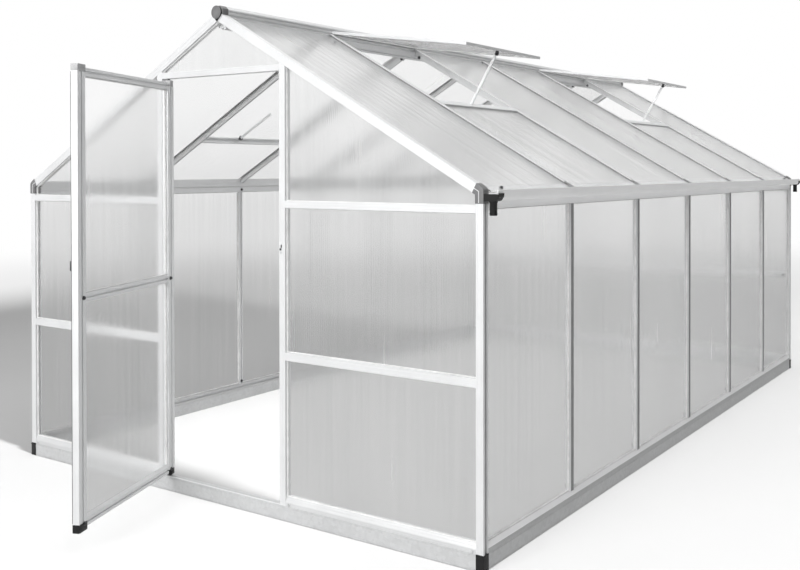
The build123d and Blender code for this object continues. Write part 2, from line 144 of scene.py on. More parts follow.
class GreenhouseFinishes(bpy.types.PropertyGroup):
    aluminium: colour_prop("Aluminium", "Satin mill-finish profiles", (0.74, 0.745, 0.75))
    # A darker copy of the satin aluminium: the darker tone is painted shade
    bars: colour_prop("Dull aluminium", "Bars, eave beams and end sills", (0.65, 0.654, 0.658))
    # Darker still for the side sills: painted shade
    sill: colour_prop("Side sills", "Dull aluminium of the side sills", (0.5, 0.503, 0.506))
    base_metal: colour_prop("Base metal", "Galvanised base rails", (0.56, 0.565, 0.568))
    sheet: colour_prop("Sheet", "Translucent twin-wall sheet", (0.985, 0.987, 0.987))
    # Pale coat: the gutters' own colour; on the eave faces it is painted light, and on the sill slopes a
    # painted highlight
    gutter: colour_prop("Gutter", "Pale coat of gutters, eave faces and sill slopes", (0.92, 0.922, 0.925))
    bead: colour_prop("Bead", "Pale glazing beads", (0.82, 0.82, 0.81))
    black: colour_prop("Black plastic", "Base caps, outlets and lower door caps", (0.012, 0.012, 0.0122))
    # A lighter copy of the black plastic: the grey is painted light on the eave and ridge caps
    grey: colour_prop("Grey plastic", "Eave and ridge caps", (0.16, 0.16, 0.162))
    pale: colour_prop("Pale plastic", "Upper caps and pivot of the door", (0.4, 0.402, 0.405))
    # Dark seals; along the roof bars they also paint the shadow line beside each bar
    seal: colour_prop("Seal", "Dark seals of the roof bars and the door", (0.13, 0.13, 0.132))
    # Dark grey of the strips on wall bars and in the posts' channels: painted shade
    cover: colour_prop("Cover strips", "Grey strips on wall bars and posts", (0.24, 0.241, 0.243))
    fitting: colour_prop("Fittings", "Dark bolts, latch and brackets", (0.045, 0.045, 0.048))
    floor: colour_prop("Floor", "Studio floor", (0.45, 0.45, 0.45))


class GreenhouseStage(bpy.types.PropertyGroup):
    camera_place: FloatVectorProperty(name="Camera", description="Camera position", size=3,
                                      subtype="TRANSLATION", default=(2.9372, -2.5089, 1.3140))
    camera_turn: FloatVectorProperty(name="Camera turn", description="Camera rotation", size=3,
                                     subtype="EULER",
                                     default=(math.radians(89.5), 0.0, math.radians(30.288)))
    lens: FloatProperty(name="Lens", description="Focal length in millimetres", default=41.84, min=1.0)
    shift: FloatVectorProperty(name="Shift", description="Lens shift of the photograph's framing", size=2,
                               default=(-0.181, -0.1353))
    ambient: light_prop("Ambient", "World light on the object", 0.36)
    front_power: light_prop("Front light", "Power of the front soft box", 670.0, "POWER")
    top_power: light_prop("Top light", "Power of the overhead soft box", 220.0, "POWER")
    shadow_light: light_prop("Shadow light", "Strength of the low light that only reaches the floor", 12.0)
    floor_glow: light_prop("Floor white", "White that the camera sees on the floor", 0.04)
    floor_share: share_prop("Lit floor behind sheets",
                            "Share of the lamps' light on the floor behind sheets and in reflections", 0.28)
    floor_seen: share_prop("Floor behind sheets", "White of the floor behind sheets and in reflections", 0.3)
    far_seen: share_prop("Far floor behind sheets",
                         "Brightness of the far floor behind sheets and in reflections", 0.76)
    flag: share_prop("Flag", "Grey of the card on the right that keeps side faces dim", 0.06)
    seed: IntProperty(name="Seed", description="Seed of the streak offsets", default=7)


def settings_of(group):
    return getattr(bpy.context.scene, "greenhouse_" + group)


# Reading the CAD solids

class Solid:
    """One merged CAD solid: its flat faces as (normal, corners)."""

    def __init__(self, faces):
        self.faces = faces
        self.points = [corner for _, corners in faces for corner in corners]
        low = Vector(min(point[axis] for point in self.points) for axis in range(3))
        high = Vector(max(point[axis] for point in self.points) for axis in range(3))
        self.low, self.high, self.centre = low, high, (low + high) / 2

    def edges(self):
        for _, corners in self.faces:
            for start, end in zip(corners, corners[1:] + corners[:1]):
                yield end - start

    def outlines(self):
        return [corners for _, corners in self.faces]

    def span(self, way):
        """Least and most distance of its points along a direction."""
        places = [point.dot(way) for point in self.points]
        return min(places), max(places)


def solids_of(*nodes):
    return [solid for node in nodes for solid in node_solids(node)]


def node_solids(node):
    """The separate solids of a CAD node, merged and with only their real edges."""
    mesh = bmesh.new()
    mesh.from_mesh(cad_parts[node].data)
    bmesh.ops.remove_doubles(mesh, verts=mesh.verts, dist=SAME_POINT)
    bmesh.ops.dissolve_limit(mesh, angle_limit=SAME_PLANE, verts=mesh.verts, edges=mesh.edges)
    found, left = [], set(mesh.faces)
    for seed_face in list(mesh.faces):
        if seed_face not in left:
            continue
        group, queue = [], [seed_face]
        left.discard(seed_face)
        while queue:
            face = queue.pop()
            group.append(face)
            for edge in face.edges:
                for other in edge.link_faces:
                    if other in left:
                        left.discard(other)
                        queue.append(other)
        found.append(Solid([(face.normal.copy(), [vert.co.copy() for vert in face.verts]) for face in group]))
    mesh.free()
    return sorted(found, key=lambda solid: tuple(round(value, 4) for value in solid.centre))


class Run:
    """A bar's own directions: along its length, out of its face and across it, with its cut ends."""

    def __init__(self, solid, outward):
        self.axis = max(solid.edges(), key=lambda edge: edge.length).normalized()
        if max(self.axis, key=abs) < 0:
            self.axis.negate()
        flat = [normal for normal, _ in solid.faces if abs(normal.dot(self.axis)) < ALONG_BAR]
        self.out = max(flat, key=lambda normal: normal.dot(outward)).copy()
        self.across = self.axis.cross(self.out).normalized()
        ends = [face for face in solid.faces if abs(face[0].dot(self.axis)) > ACROSS_BAR]
        self.first = min(ends, key=lambda face: face[0].dot(self.axis))
        self.last = max(ends, key=lambda face: face[0].dot(self.axis))
        outline = [(corner.dot(self.across), corner.dot(self.out)) for corner in self.last[1]]
        self.outline = outline if signed_area(outline) > 0 else outline[::-1]

    def ring(self, section, end, sink=0.0):
        """The section's points on the plane of a cut end; the lower end may go further by a sink."""
        normal, corners = end
        reach = self.axis.dot(normal)
        shift = self.axis * sink * (1 if reach > 0 else -1)
        if shift.z > 0:
            shift = Vector()
        ring = []
        for across, out in section:
            point = self.across * across + self.out * out
            ring.append(point + self.axis * ((corners[0] - point).dot(normal) / reach) + shift)
        return ring


def signed_area(points):
    return sum(a[0] * b[1] - b[0] * a[1] for a, b in zip(points, points[1:] + points[:1])) / 2


# Sections

def softened(points, edge, most=0.3):
    """Polygon with its corners cut by a small chamfer, which takes at most a share of each side."""
    made = []
    count = len(points)
    for number, point in enumerate(points):
        here = Vector(point)
        for other in (Vector(points[number - 1]), Vector(points[(number + 1) % count])):
            reach = other - here
            made.append(tuple(here + reach.normalized() * min(edge, reach.length * most)))
    return made


def grooved(points, grooves, shortest=0.008, facing=0.7):
    """Polygon with grooves cut into its faces. Each groove is (face, place, width, depth, floor share).
    On out and in faces the place runs from -1 to 1 across the face; on side faces it is the distance
    from the outer edge."""
    made = []
    for start, end in zip(points, points[1:] + points[:1]):
        start, end = Vector(start), Vector(end)
        made.append(tuple(start))
        span = (end - start).length
        if span < shortest:
            continue
        step = (end - start) / span
        normal = Vector((step.y, -step.x))
        face = "out" if normal.y > facing else "in" if normal.y < -facing else "side"
        cuts = []
        for kind, place, width, depth, share in grooves:
            if kind != face:
                continue
            middle = span * (0.5 + place / 2)
            if face == "side":
                middle = place if step.y < 0 else span - place
            if width / 2 < middle < span - width / 2:
                cuts.append((middle, width, depth, share))
        for middle, width, depth, share in sorted(cuts):
            for shift, sink in ((-1, 0), (-share, depth), (share, depth), (1, 0)):
                made.append(tuple(start + step * (middle + shift * width / 2) - normal * sink))
    return made


def fine_line(profiles):
    """Width, depth and floor share of the fine lines."""
    return profiles.line_width, profiles.line_depth, LINE_FLOOR


def bolt_slot(profiles):
    """Width, depth and floor share of the bolt slots."""
    return profiles.slot_width, profiles.slot_depth, SLOT_FLOOR


def frame_lines(profiles, side_line=0.006):
    """Grooves of the square frame profiles: two fine lines outside, a bolt slot inside."""
    line = fine_line(profiles)
    return [("out", -0.5, *line), ("out", 0.5, *line), ("in", 0.0, *bolt_slot(profiles)),
            ("side", side_line, *line)]


def bar_lines(profiles, side_line=0.0195, deeper=1.6, floor=0.6):
    """Grooves of the glazing bars: a shallow channel outside, a bolt slot inside and a line on each side."""
    return [("out", 0.0, profiles.slot_width, profiles.line_depth * deeper, floor),
            ("in", 0.0, *bolt_slot(profiles)), ("side", side_line, *fine_line(profiles))]


def tee_section(profiles):
    """Section of a T bar: an outer flange, a web and a bolt channel on the inner edge."""
    def section(outline):
        left, right = min(point[0] for point in outline), max(point[0] for point in outline)
        inner, outer = min(point[1] for point in outline), max(point[1] for point in outline)
        middle, under, neck = (left + right) / 2, outer - profiles.flange, inner + profiles.bulb
        web, bulb = profiles.web / 2, profiles.bulb / 2
        half = [(right, outer), (right, under), (middle + web, under), (middle + web, neck),
                (middle + bulb, neck), (middle + bulb, inner)]
        return [(2 * middle - across, out) for across, out in half] + half[::-1]
    return section


def strip_section(inset, thickness, sunk=0.0):
    """Section of a flat strip on a bar's outer face, set in from its edges, or sunk into its channel."""
    def section(outline):
        out = max(point[1] for point in outline)
        flat = [point[0] for point in outline if point[1] > out - SAME_LEVEL]
        low, high, foot = min(flat) + inset, max(flat) - inset, out - sunk
        return [(low, foot), (high, foot), (high, foot + thickness), (low, foot + thickness)]
    return section


def slope_section(thickness):
    """Section of a thin strip that covers the slanting face of a sill."""
    def section(outline):
        first, second = max(zip(outline, outline[1:] + outline[:1]), key=lambda pair: min(
            abs(pair[0][0] - pair[1][0]), abs(pair[0][1] - pair[1][1])))
        first, second = Vector(first), Vector(second)
        step = (second - first).normalized()
        lift = Vector((step.y, -step.x)) * thickness
        return [tuple(point) for point in (first, first + lift, second + lift, second)]
    return section


# Building pieces

class Shape:
    """A mesh under way. Its map runs round a section in u and along it in v, in metres."""
    # Least angle of an edge that gets rounded, and the fullness of its rounding
    real_edge, fullness = 0.3, 0.6

    def __init__(self):
        self.mesh = bmesh.new()
        self.map = self.mesh.loops.layers.uv.new("run")

    def sweep(self, rings, offset=0.0, closed=False, smooth=False):
        """Skin over rings of points, with its ends closed, or joined where the sweep is closed."""
        rows = [[self.mesh.verts.new(point) for point in ring] for ring in rings]
        lengths = [0.0]
        for before, after in zip(rings, rings[1:] + rings[:1]):
            lengths.append(lengths[-1] + (after[0] - before[0]).length)
        rounds = [0.0]
        for before, after in zip(rings[0], rings[0][1:] + rings[0][:1]):
            rounds.append(rounds[-1] + (after - before).length)
        count = len(rings[0])
        pairs = list(zip(range(len(rows)), range(1, len(rows)))) + ([(len(rows) - 1, 0)] if closed else [])
        made = []
        for low, high in pairs:
            for side in range(count):
                after = (side + 1) % count
                face = self.mesh.faces.new((rows[low][side], rows[low][after],
                                            rows[high][after], rows[high][side]))
                face.smooth = smooth
                places = ((side, low), (side + 1, low), (side + 1, low + 1), (side, low + 1))
                for loop, (around, along) in zip(face.loops, places):
                    loop[self.map].uv = (rounds[around] + offset, lengths[along] + offset)
                made.append(face)
        if not closed:
            for row in (rows[0][::-1], rows[-1]):
                face = self.mesh.faces.new(row)
                for loop in face.loops:
                    spot = loop.vert.co
                    loop[self.map].uv = (spot.x + spot.y + offset, spot.z + offset)
                made.append(face)
        bmesh.ops.recalc_face_normals(self.mesh, faces=made)

    def solid(self, faces, soften, segments=2):
        """Closed shape from faces of corners, with its real edges rounded."""
        verts, made = {}, []
        for corners in faces:
            loop = []
            for corner in corners:
                key = tuple(round(value, 6) for value in corner)
                if key not in verts:
                    verts[key] = self.mesh.verts.new(corner)
                loop.append(verts[key])
            made.append(self.mesh.faces.new(loop))
        bmesh.ops.recalc_face_normals(self.mesh, faces=made)
        edges = dict.fromkeys(edge for face in made for edge in face.edges)
        sharp = [edge for edge in edges if edge.calc_face_angle(0.0) > self.real_edge]
        bmesh.ops.bevel(self.mesh, geom=sharp, offset=soften, segments=segments, profile=self.fullness,
                        affect="EDGES", clamp_overlap=True)

    def prism(self, start, end, soften):
        """Closed shape between two outlines with equal numbers of points."""
        count = len(start)
        faces = [start, end[::-1]]
        for step in range(count):
            after = (step + 1) % count
            faces.append([start[step], start[after], end[after], end[step]])
        self.solid(faces, soften)

    def block(self, low, high, soften, turn=None):
        """Box between two corners, turned by a matrix where one is given."""
        xs, ys, zs = ((low[axis], high[axis]) for axis in range(3))
        corner = {(i, j, k): Vector((xs[i], ys[j], zs[k])) for i in (0, 1) for j in (0, 1) for k in (0, 1)}
        if turn is not None:
            corner = {key: turn @ point for key, point in corner.items()}
        sides = [((0, 0, 0), (0, 1, 0), (1, 1, 0), (1, 0, 0)), ((0, 0, 1), (1, 0, 1), (1, 1, 1), (0, 1, 1)),
                 ((0, 0, 0), (1, 0, 0), (1, 0, 1), (0, 0, 1)), ((0, 1, 0), (0, 1, 1), (1, 1, 1), (1, 1, 0)),
                 ((0, 0, 0), (0, 0, 1), (0, 1, 1), (0, 1, 0)), ((1, 0, 0), (1, 1, 0), (1, 1, 1), (1, 0, 1))]
        self.solid([[corner[key] for key in side] for side in sides], soften)

    def turned(self, profile, place, axis, sides=24):
        """Lathed shape: profile of (radius, height) pairs about an axis at a place."""
        side = axis.orthogonal().normalized()
        other = axis.cross(side)
        rings = []
        for radius, height in profile:
            rings.append([place + axis * height + (side * math.cos(turn) + other * math.sin(turn)) * radius
                          for turn in (math.tau * step / sides for step in range(sides))])
        self.sweep(rings, smooth=True)

    def piece(self, name, material, body, slot, nodes=()):
        """The finished object, riding on its body and standing for its CAD nodes."""
        mesh = bpy.data.meshes.new(name)
        self.mesh.to_mesh(mesh)
        self.mesh.free()
        as_piece(mesh, name, material, body, slot, nodes)


def as_piece(mesh, name, material, body, slot, nodes=(), sharp=35.0):
    """A finished mesh as an object; edges above an angle in degrees stay sharp."""
    mesh.materials.clear()
    mesh.materials.append(material)
    mesh.set_sharp_from_angle(angle=math.radians(sharp))
    made = bpy.data.objects.new(name, mesh)
    bpy.context.scene.collection.objects.link(made)
    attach(made, body)
    if nodes:
        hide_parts(*nodes)


def streak_offset(number, step=0.618, span=9.7):
    """A steady offset that keeps two bars from having the same streaks."""
    return (number * step + settings_of("stage").seed) % span


def profile_piece(name, nodes, outward, grooves, material, body, slot, edge, sink=0.0, section=None):
    """One piece of extruded bars that follow the solids of CAD nodes; lower ends may sink into a cap."""
    shape = Shape()
    for number, solid in enumerate(solids_of(*nodes)):
        run = Run(solid, outward(solid) if callable(outward) else outward)
        outline = section(run.outline) if section else run.outline
        cut = grooved(softened(outline, edge), grooves)
        shape.sweep([run.ring(cut, end, sink) for end in (run.first, run.last)], streak_offset(number))
    shape.piece(name, material, body, slot, nodes)


def frame_piece(node, outward, grooves, material, body=FIXED, edge=1.0, sink=0.0, section=None):
    """Extruded aluminium bars of one CAD node; the edge is a share of the usual softening."""
    profile_piece(node + "_profile", (node,), outward, grooves, material, body, "aluminium_frame",
                  settings_of("profiles").edge * edge, sink, section)


def lengthwise(section, ends, side=1):
    """Rings of an (x, z) section at places along the greenhouse, mirrored for its left side."""
    return [[Vector((side * x, y, z)) for x, z in section] for y in ends]


def add_part(joined, mesh, axes, place, cut):
    """Adds a mesh to a joined one, turned to three axes at a place and cut by a function."""
    mesh.transform(Matrix.Translation(place) @ Matrix(axes).transposed().to_4x4())
    part = bmesh.new()
    part.from_mesh(mesh)
    cut(part)
    part.to_mesh(mesh)
    part.free()
    joined.from_mesh(mesh)
    bpy.data.meshes.remove(mesh)


def joined_piece(joined, name, *details):
    """A joined mesh as one piece."""
    whole = bpy.data.meshes.new(name)
    joined.to_mesh(whole)
    joined.free()
    as_piece(whole, name, *details)


def cut_off(part, place, normal):
    """Takes away what lies beyond a plane and closes the cut."""
    cut = bmesh.ops.bisect_plane(part, geom=part.verts[:] + part.edges[:] + part.faces[:],
                                 plane_co=place, plane_no=normal, clear_outer=True)
    rim = [item for item in cut["geom_cut"] if isinstance(item, bmesh.types.BMEdge)]
    bmesh.ops.holes_fill(part, edges=rim, sides=0)


# Node trees

def add_node(tree, kind, inputs=None, **settings):
    made = tree.nodes.new(kind)
    for key, value in settings.items():
        setattr(made, key, value)
    for key, value in (inputs or {}).items():
        if isinstance(value, bpy.types.NodeSocket):
            tree.links.new(value, made.inputs[key])
        else:
            made.inputs[key].default_value = value
    return made


def value_math(tree, operation, first, second=0.0):
    return add_node(tree, "ShaderNodeMath", {0: first, 1: second}, operation=operation).outputs[0]


def combined(tree, **parts):
    """Vector from its X, Y and Z parts."""
    return add_node(tree, "ShaderNodeCombineXYZ", parts).outputs[0]


def joined_up(tree, *parts):
    """Several geometries as one."""
    both = add_node(tree, "GeometryNodeJoinGeometry")
    for part in parts:
        tree.links.new(part, both.inputs[0])
    return both.outputs[0]


def geometry_tree(name, *labels):
    """Empty Geometry Nodes tree with named sizes: the tree, its inputs and a function that closes it."""
    tree = bpy.data.node_groups.new(name, "GeometryNodeTree")
    tree.interface.new_socket("Geometry", in_out="INPUT", socket_type="NodeSocketGeometry")
    for label in labels:
        tree.interface.new_socket(label, in_out="INPUT", socket_type="NodeSocketFloat")
    tree.interface.new_socket("Material", in_out="INPUT", socket_type="NodeSocketMaterial")
    tree.interface.new_socket("Geometry", in_out="OUTPUT", socket_type="NodeSocketGeometry")
    start = tree.nodes.new("NodeGroupInput").outputs

    def close(geometry):
        real = add_node(tree, "GeometryNodeRealizeInstances", {"Geometry": geometry})
        dressed = add_node(tree, "GeometryNodeSetMaterial",
                           {"Geometry": real.outputs[0], "Material": start["Material"]})
        end = tree.nodes.new("NodeGroupOutput")
        tree.links.new(dressed.outputs[0], end.inputs[0])
        return tree

    return tree, start, close


def evaluated(tree, base, values):
    """Plain mesh that a tree makes from a base mesh, which is then removed, and its input values."""
    carrier = bpy.data.objects.new("carrier", base)
    bpy.context.scene.collection.objects.link(carrier)
    modifier = carrier.modifiers.new("tree", "NODES")
    modifier.node_group = tree
    sockets = {item.name: item.identifier for item in tree.interface.items_tree if item.in_out == "INPUT"}
    for label, value in values.items():
        modifier[sockets[label]] = value
    graph = bpy.context.evaluated_depsgraph_get()
    mesh = bpy.data.meshes.new_from_object(carrier.evaluated_get(graph), depsgraph=graph)
    carrier.modifiers.remove(modifier)
    bpy.data.objects.remove(carrier)
    bpy.data.meshes.remove(base)
    return mesh


def sheet_tree(points_per_flute=4.0):
    """Twin-wall sheet: a thin closed slab whose two skins ripple between the webs."""
    tree, size, close = geometry_tree("Twin-wall sheet", "Width", "Height", "Thickness", "Pitch", "Ripple")
    flutes = value_math(tree, "CEIL", value_math(tree, "DIVIDE", size["Width"], size["Pitch"]))
    columns = value_math(tree, "ADD", value_math(tree, "MULTIPLY", flutes, points_per_flute), 1.0)
    grid = add_node(tree, "GeometryNodeMeshGrid", {"Size X": size["Width"], "Size Y": size["Height"],
                                                   "Vertices X": columns, "Vertices Y": 2})
    raised = add_node(tree, "GeometryNodeExtrudeMesh",
                      {"Mesh": grid.outputs[0], "Offset": UP, "Offset Scale": size["Thickness"],
                       "Individual": False}, mode="FACES")
    under = add_node(tree, "GeometryNodeFlipFaces", {"Mesh": grid.outputs[0]})
    both = joined_up(tree, raised.outputs[0], under.outputs[0])
    merged = add_node(tree, "GeometryNodeMergeByDistance", {"Geometry": both, "Distance": SAME_POINT})
    place = add_node(tree, "ShaderNodeSeparateXYZ",
                     {0: tree.nodes.new("GeometryNodeInputPosition").outputs[0]})
    flute = value_math(tree, "DIVIDE", place.outputs["X"], size["Pitch"])
    turn = value_math(tree, "MULTIPLY", flute, math.tau)
    wave = value_math(tree, "MULTIPLY", value_math(tree, "COSINE", turn), size["Ripple"])
    side = value_math(tree, "SIGN", value_math(tree, "SUBTRACT", place.outputs["Z"],
                                               value_math(tree, "MULTIPLY", size["Thickness"], 0.5)))
    lift = combined(tree, Z=value_math(tree, "MULTIPLY", wave, side))
    rippled = add_node(tree, "GeometryNodeSetPosition", {"Geometry": merged.outputs[0], "Offset": lift})
    return close(rippled.outputs[0])


def bead_tree(sides=8):
    """Round bead along the edges of the input mesh."""
    tree, size, close = geometry_tree("Glazing bead", "Radius")
    path = add_node(tree, "GeometryNodeMeshToCurve", {"Mesh": size["Geometry"]})
    ring = add_node(tree, "GeometryNodeCurvePrimitiveCircle",
                    {"Resolution": sides, "Radius": size["Radius"]}, mode="RADIUS")
    bead = add_node(tree, "GeometryNodeCurveToMesh",
                    {"Curve": path.outputs[0], "Profile Curve": ring.outputs[0], "Fill Caps": True})
    return close(bead.outputs[0])


def bolt_tree(washer_sides=14, head_sides=6, tip_sides=10, washer_share=0.35, tip_share=0.55):
    """Hexagon bolt with a washer on each point of the input mesh, facing its facing attribute."""
    tree, size, close = geometry_tree("Bolts", "Head", "Height", "Washer")
    plate = value_math(tree, "MULTIPLY", size["Height"], washer_share)

    def drum(sides, radius, depth, lift):
        made = add_node(tree, "GeometryNodeMeshCylinder",
                        {"Vertices": sides, "Radius": radius, "Depth": depth})
        middle = value_math(tree, "ADD", value_math(tree, "MULTIPLY", depth, 0.5), lift)
        return add_node(tree, "GeometryNodeTransform", {"Geometry": made.outputs[0],
                                                        "Translation": combined(tree, Z=middle)}).outputs[0]

    top = value_math(tree, "ADD", size["Height"], plate)
    bolt = joined_up(tree, drum(washer_sides, size["Washer"], plate, 0.0),
                     drum(head_sides, size["Head"], size["Height"], plate),
                     drum(tip_sides, value_math(tree, "MULTIPLY", size["Head"], tip_share), plate, top))
    facing = add_node(tree, "GeometryNodeInputNamedAttribute", {"Name": "facing"}, data_type="FLOAT_VECTOR")
    turn = add_node(tree, "FunctionNodeAlignRotationToVector", {"Vector": facing.outputs[0]}, axis="Z")
    spread = add_node(tree, "GeometryNodeInstanceOnPoints",
                      {"Points": size["Geometry"], "Instance": bolt, "Rotation": turn.outputs[0]})
    return close(spread.outputs[0])


def stay_tree(hole_sides=16, drill_reach=4.0):
    """Flat stay with a row of round holes, from the origin along X."""
    tree, size, close = geometry_tree("Vent stay", "Length", "Width", "Thickness", "Hole", "Pitch")
    outline = combined(tree, X=size["Length"], Y=size["Width"], Z=size["Thickness"])
    flat = add_node(tree, "GeometryNodeMeshCube", {"Size": outline})
    middle = combined(tree, X=value_math(tree, "MULTIPLY", size["Length"], 0.5))
    bar = add_node(tree, "GeometryNodeTransform", {"Geometry": flat.outputs[0], "Translation": middle})
    room = value_math(tree, "SUBTRACT", value_math(tree, "DIVIDE", size["Length"], size["Pitch"]), 1.0)
    step = combined(tree, X=size["Pitch"])
    row = add_node(tree, "GeometryNodeMeshLine", {"Count": value_math(tree, "FLOOR", room),
                                                  "Start Location": step, "Offset": step}, mode="OFFSET")
    depth = value_math(tree, "MULTIPLY", size["Thickness"], drill_reach)
    drill = add_node(tree, "GeometryNodeMeshCylinder",
                     {"Vertices": hole_sides, "Radius": size["Hole"], "Depth": depth})
    drills = add_node(tree, "GeometryNodeInstanceOnPoints",
                      {"Points": row.outputs[0], "Instance": drill.outputs[0]})
    real = add_node(tree, "GeometryNodeRealizeInstances", {"Geometry": drills.outputs[0]})
    cut = add_node(tree, "GeometryNodeMeshBoolean", {"Mesh 1": bar.outputs[0], "Mesh 2": real.outputs[0]},
                   operation="DIFFERENCE", solver="EXACT")
    return close(cut.outputs[0])


# Materials

def finish(name):
    """A material by its name, with its tree and shader where it is new."""
    made = bpy.data.materials.get(name)
    if made:
        return made, None, None
    made = bpy.data.materials.new(name)
    made.use_nodes = True
    return made, made.node_tree, made.node_tree.nodes["Principled BSDF"]


def ramp(tree, factor, tone, shades, ends=(0.3, 0.7)):
    """Colour setting between a darker and a lighter shade, following a factor."""
    colour = getattr(settings_of("finishes"), tone)
    made = add_node(tree, "ShaderNodeValToRGB", {"Fac": factor})
    for element, place, share in zip(made.color_ramp.elements, ends, shades):
        element.position = place
        element.color = (*(min(1.0, channel * share) for channel in colour), 1.0)
    return made.outputs["Color"]


def map_range(tree, value, low, high, **inputs):
    """Value between two limits, following another value."""
    return add_node(tree, "ShaderNodeMapRange", {"Value": value, "To Min": low, "To Max": high,
                                                 **inputs}).outputs[0]


def paint(tree, shader, factor, tone, **limits):
    tree.links.new(ramp(tree, factor, tone, **limits), shader.inputs["Base Color"])


def roughen(tree, shader, factor, low, high):
    rough = map_range(tree, factor, low, high, **{"From Min": 0.25, "From Max": 0.75})
    tree.links.new(rough, shader.inputs["Roughness"])


def bump(tree, shader, height, strength, distance=0.0003):
    made = add_node(tree, "ShaderNodeBump", {"Height": height, "Strength": strength, "Distance": distance})
    tree.links.new(made.outputs[0], shader.inputs["Normal"])


def noise(tree, vector, scale=1.0, detail=3.0, roughness=0.55):
    return add_node(tree, "ShaderNodeTexNoise", {"Vector": vector, "Scale": scale, "Detail": detail,
                                                 "Roughness": roughness}).outputs[0]


def blend(tree, first, *others):
    """Sum of (value, share) pairs."""
    total = value_math(tree, "MULTIPLY", *first)
    for pair in others:
        total = value_math(tree, "ADD", total, value_math(tree, "MULTIPLY", *pair))
    return total


def run_map(tree):
    """The map that runs round and along each bar or sheet."""
    return add_node(tree, "ShaderNodeUVMap", uv_map="run").outputs[0]


def stretched(tree, across, along):
    """The same map with its own scale across and along."""
    return add_node(tree, "ShaderNodeMapping",
                    {"Vector": run_map(tree), "Scale": (across, along, 1.0)}).outputs[0]


def object_place(tree):
    return tree.nodes.new("ShaderNodeTexCoord").outputs["Object"]


def extruded(name, tone, metal):
    """Extrusion: fine die lines along each bar and broad faint clouds."""
    made, tree, shader = finish(name)
    if tree is None:
        return made
    lines = noise(tree, stretched(tree, across=1400.0, along=5.0), detail=4.0, roughness=0.6)
    clouds = noise(tree, object_place(tree), scale=7.0)
    mixed = blend(tree, (lines, 0.55), (clouds, 0.45))
    paint(tree, shader, mixed, tone, shades=(0.92, 1.05))
    roughen(tree, shader, mixed, low=0.36, high=0.5)
    bump(tree, shader, lines, strength=0.12)
    shader.inputs["Metallic"].default_value = metal
    return made


def aluminium():
    return extruded("satin_aluminium", "aluminium", metal=0.35)


# Darker copy of the satin aluminium: its darker tone is painted shade
def dull_aluminium():
    return extruded("dull_aluminium", "bars", metal=0.35)


# A still darker copy for the side sills: painted shade
def sill_aluminium():
    return extruded("sill_aluminium", "sill", metal=0.3)


# Pale coat of the gutters; where it lies on eave faces and sill slopes it is painted light
def gutter_coat_and_painted_light():
    return extruded("pale_gutter_coat", "gutter", metal=0.05)


def galvanised():
    """Zinc-coated steel: small spangle and a rolled grain along the rail."""
    made, tree, shader = finish("galvanised_base")
    if tree is None:
        return made
    place = object_place(tree)
    spangle = add_node(tree, "ShaderNodeTexVoronoi", {"Vector": place, "Scale": 85.0}).outputs["Color"]
    grey = add_node(tree, "ShaderNodeRGBToBW", {"Color": spangle}).outputs[0]
    grain = noise(tree, stretched(tree, across=500.0, along=9.0), detail=4.0)
    clouds = noise(tree, place, scale=4.0, detail=4.0)
    mixed = blend(tree, (grain, 0.35), (clouds, 0.35), (grey, 0.3))
    paint(tree, shader, mixed, "base_metal", shades=(0.88, 1.06))
    roughen(tree, shader, mixed, low=0.42, high=0.6)
    bump(tree, shader, grain, strength=0.1)
    shader.inputs["Metallic"].default_value = 0.3
    return made


def twinwall(web_share=0.16, smoother=0.06, rougher=0.08):
    """Milky twin-wall sheet: webs every flute, long faint streaks and a soft haze."""
    made, tree, shader = finish("twinwall_polycarbonate")
    if tree is None:
        return made
    sheets = settings_of("sheets")
    across = add_node(tree, "ShaderNodeSeparateXYZ", {0: run_map(tree)}).outputs["X"]
    phase = value_math(tree, "FRACT", value_math(tree, "DIVIDE", across, sheets.pitch))
    web = value_math(tree, "LESS_THAN", phase, web_share)
    streaks = noise(tree, stretched(tree, across=46.0, along=0.9), detail=2.0, roughness=0.62)
    clouds = noise(tree, stretched(tree, across=3.0, along=1.3), detail=0.0)
    mixed = blend(tree, (streaks, 0.6), (clouds, 0.4), (web, -0.1))
    paint(tree, shader, mixed, "sheet", shades=(0.95, 1.03), ends=(0.25, 0.72))
    roughen(tree, shader, streaks, low=sheets.haze - smoother, high=sheets.haze + rougher)
    bump(tree, shader, web, strength=0.03, distance=0.0004)
    shader.inputs["Transmission Weight"].default_value = sheets.clearness
    shader.inputs["IOR"].default_value = 1.14
    return made


def moulded(name, tone, low, high, grain=900.0, gloss=0.5):
    """Moulded plastic or coated metal with a fine grain and soft shine."""
    made, tree, shader = finish(name)
    if tree is None:
        return made
    place = object_place(tree)
    fine = noise(tree, place, scale=grain, detail=2.0)
    broad = noise(tree, place, scale=28.0)
    mixed = blend(tree, (fine, 0.4), (broad, 0.6))
    paint(tree, shader, mixed, tone, shades=(0.8, 1.25))
    roughen(tree, shader, mixed, low, high)
    bump(tree, shader, fine, strength=0.15)
    shader.inputs["Specular IOR Level"].default_value = gloss
    return made


def black_plastic():
    return moulded("black_moulding", "black", low=0.12, high=0.22, gloss=0.3)


# Lighter copy of the black plastic: the grey is painted light
def grey_plastic():
    return moulded("grey_plastic", "grey", low=0.34, high=0.5, gloss=0.35)


def pale_plastic():
    return moulded("pale_plastic", "pale", low=0.34, high=0.5, gloss=0.4)


# Dark seals, which along the roof bars also paint the shadow line
def seal_and_shadow_rubber():
    return moulded("dark_seal", "seal", low=0.5, high=0.65, grain=500.0, gloss=0.3)


# Dark grey strips that paint shade on the wall bars and in the posts' channels
def painted_shade_strip():
    return moulded("grey_cover_strip", "cover", low=0.42, high=0.56, grain=500.0, gloss=0.3)


def fitting_metal():
    return moulded("dark_fitting_metal", "fitting", low=0.3, high=0.45, grain=600.0)


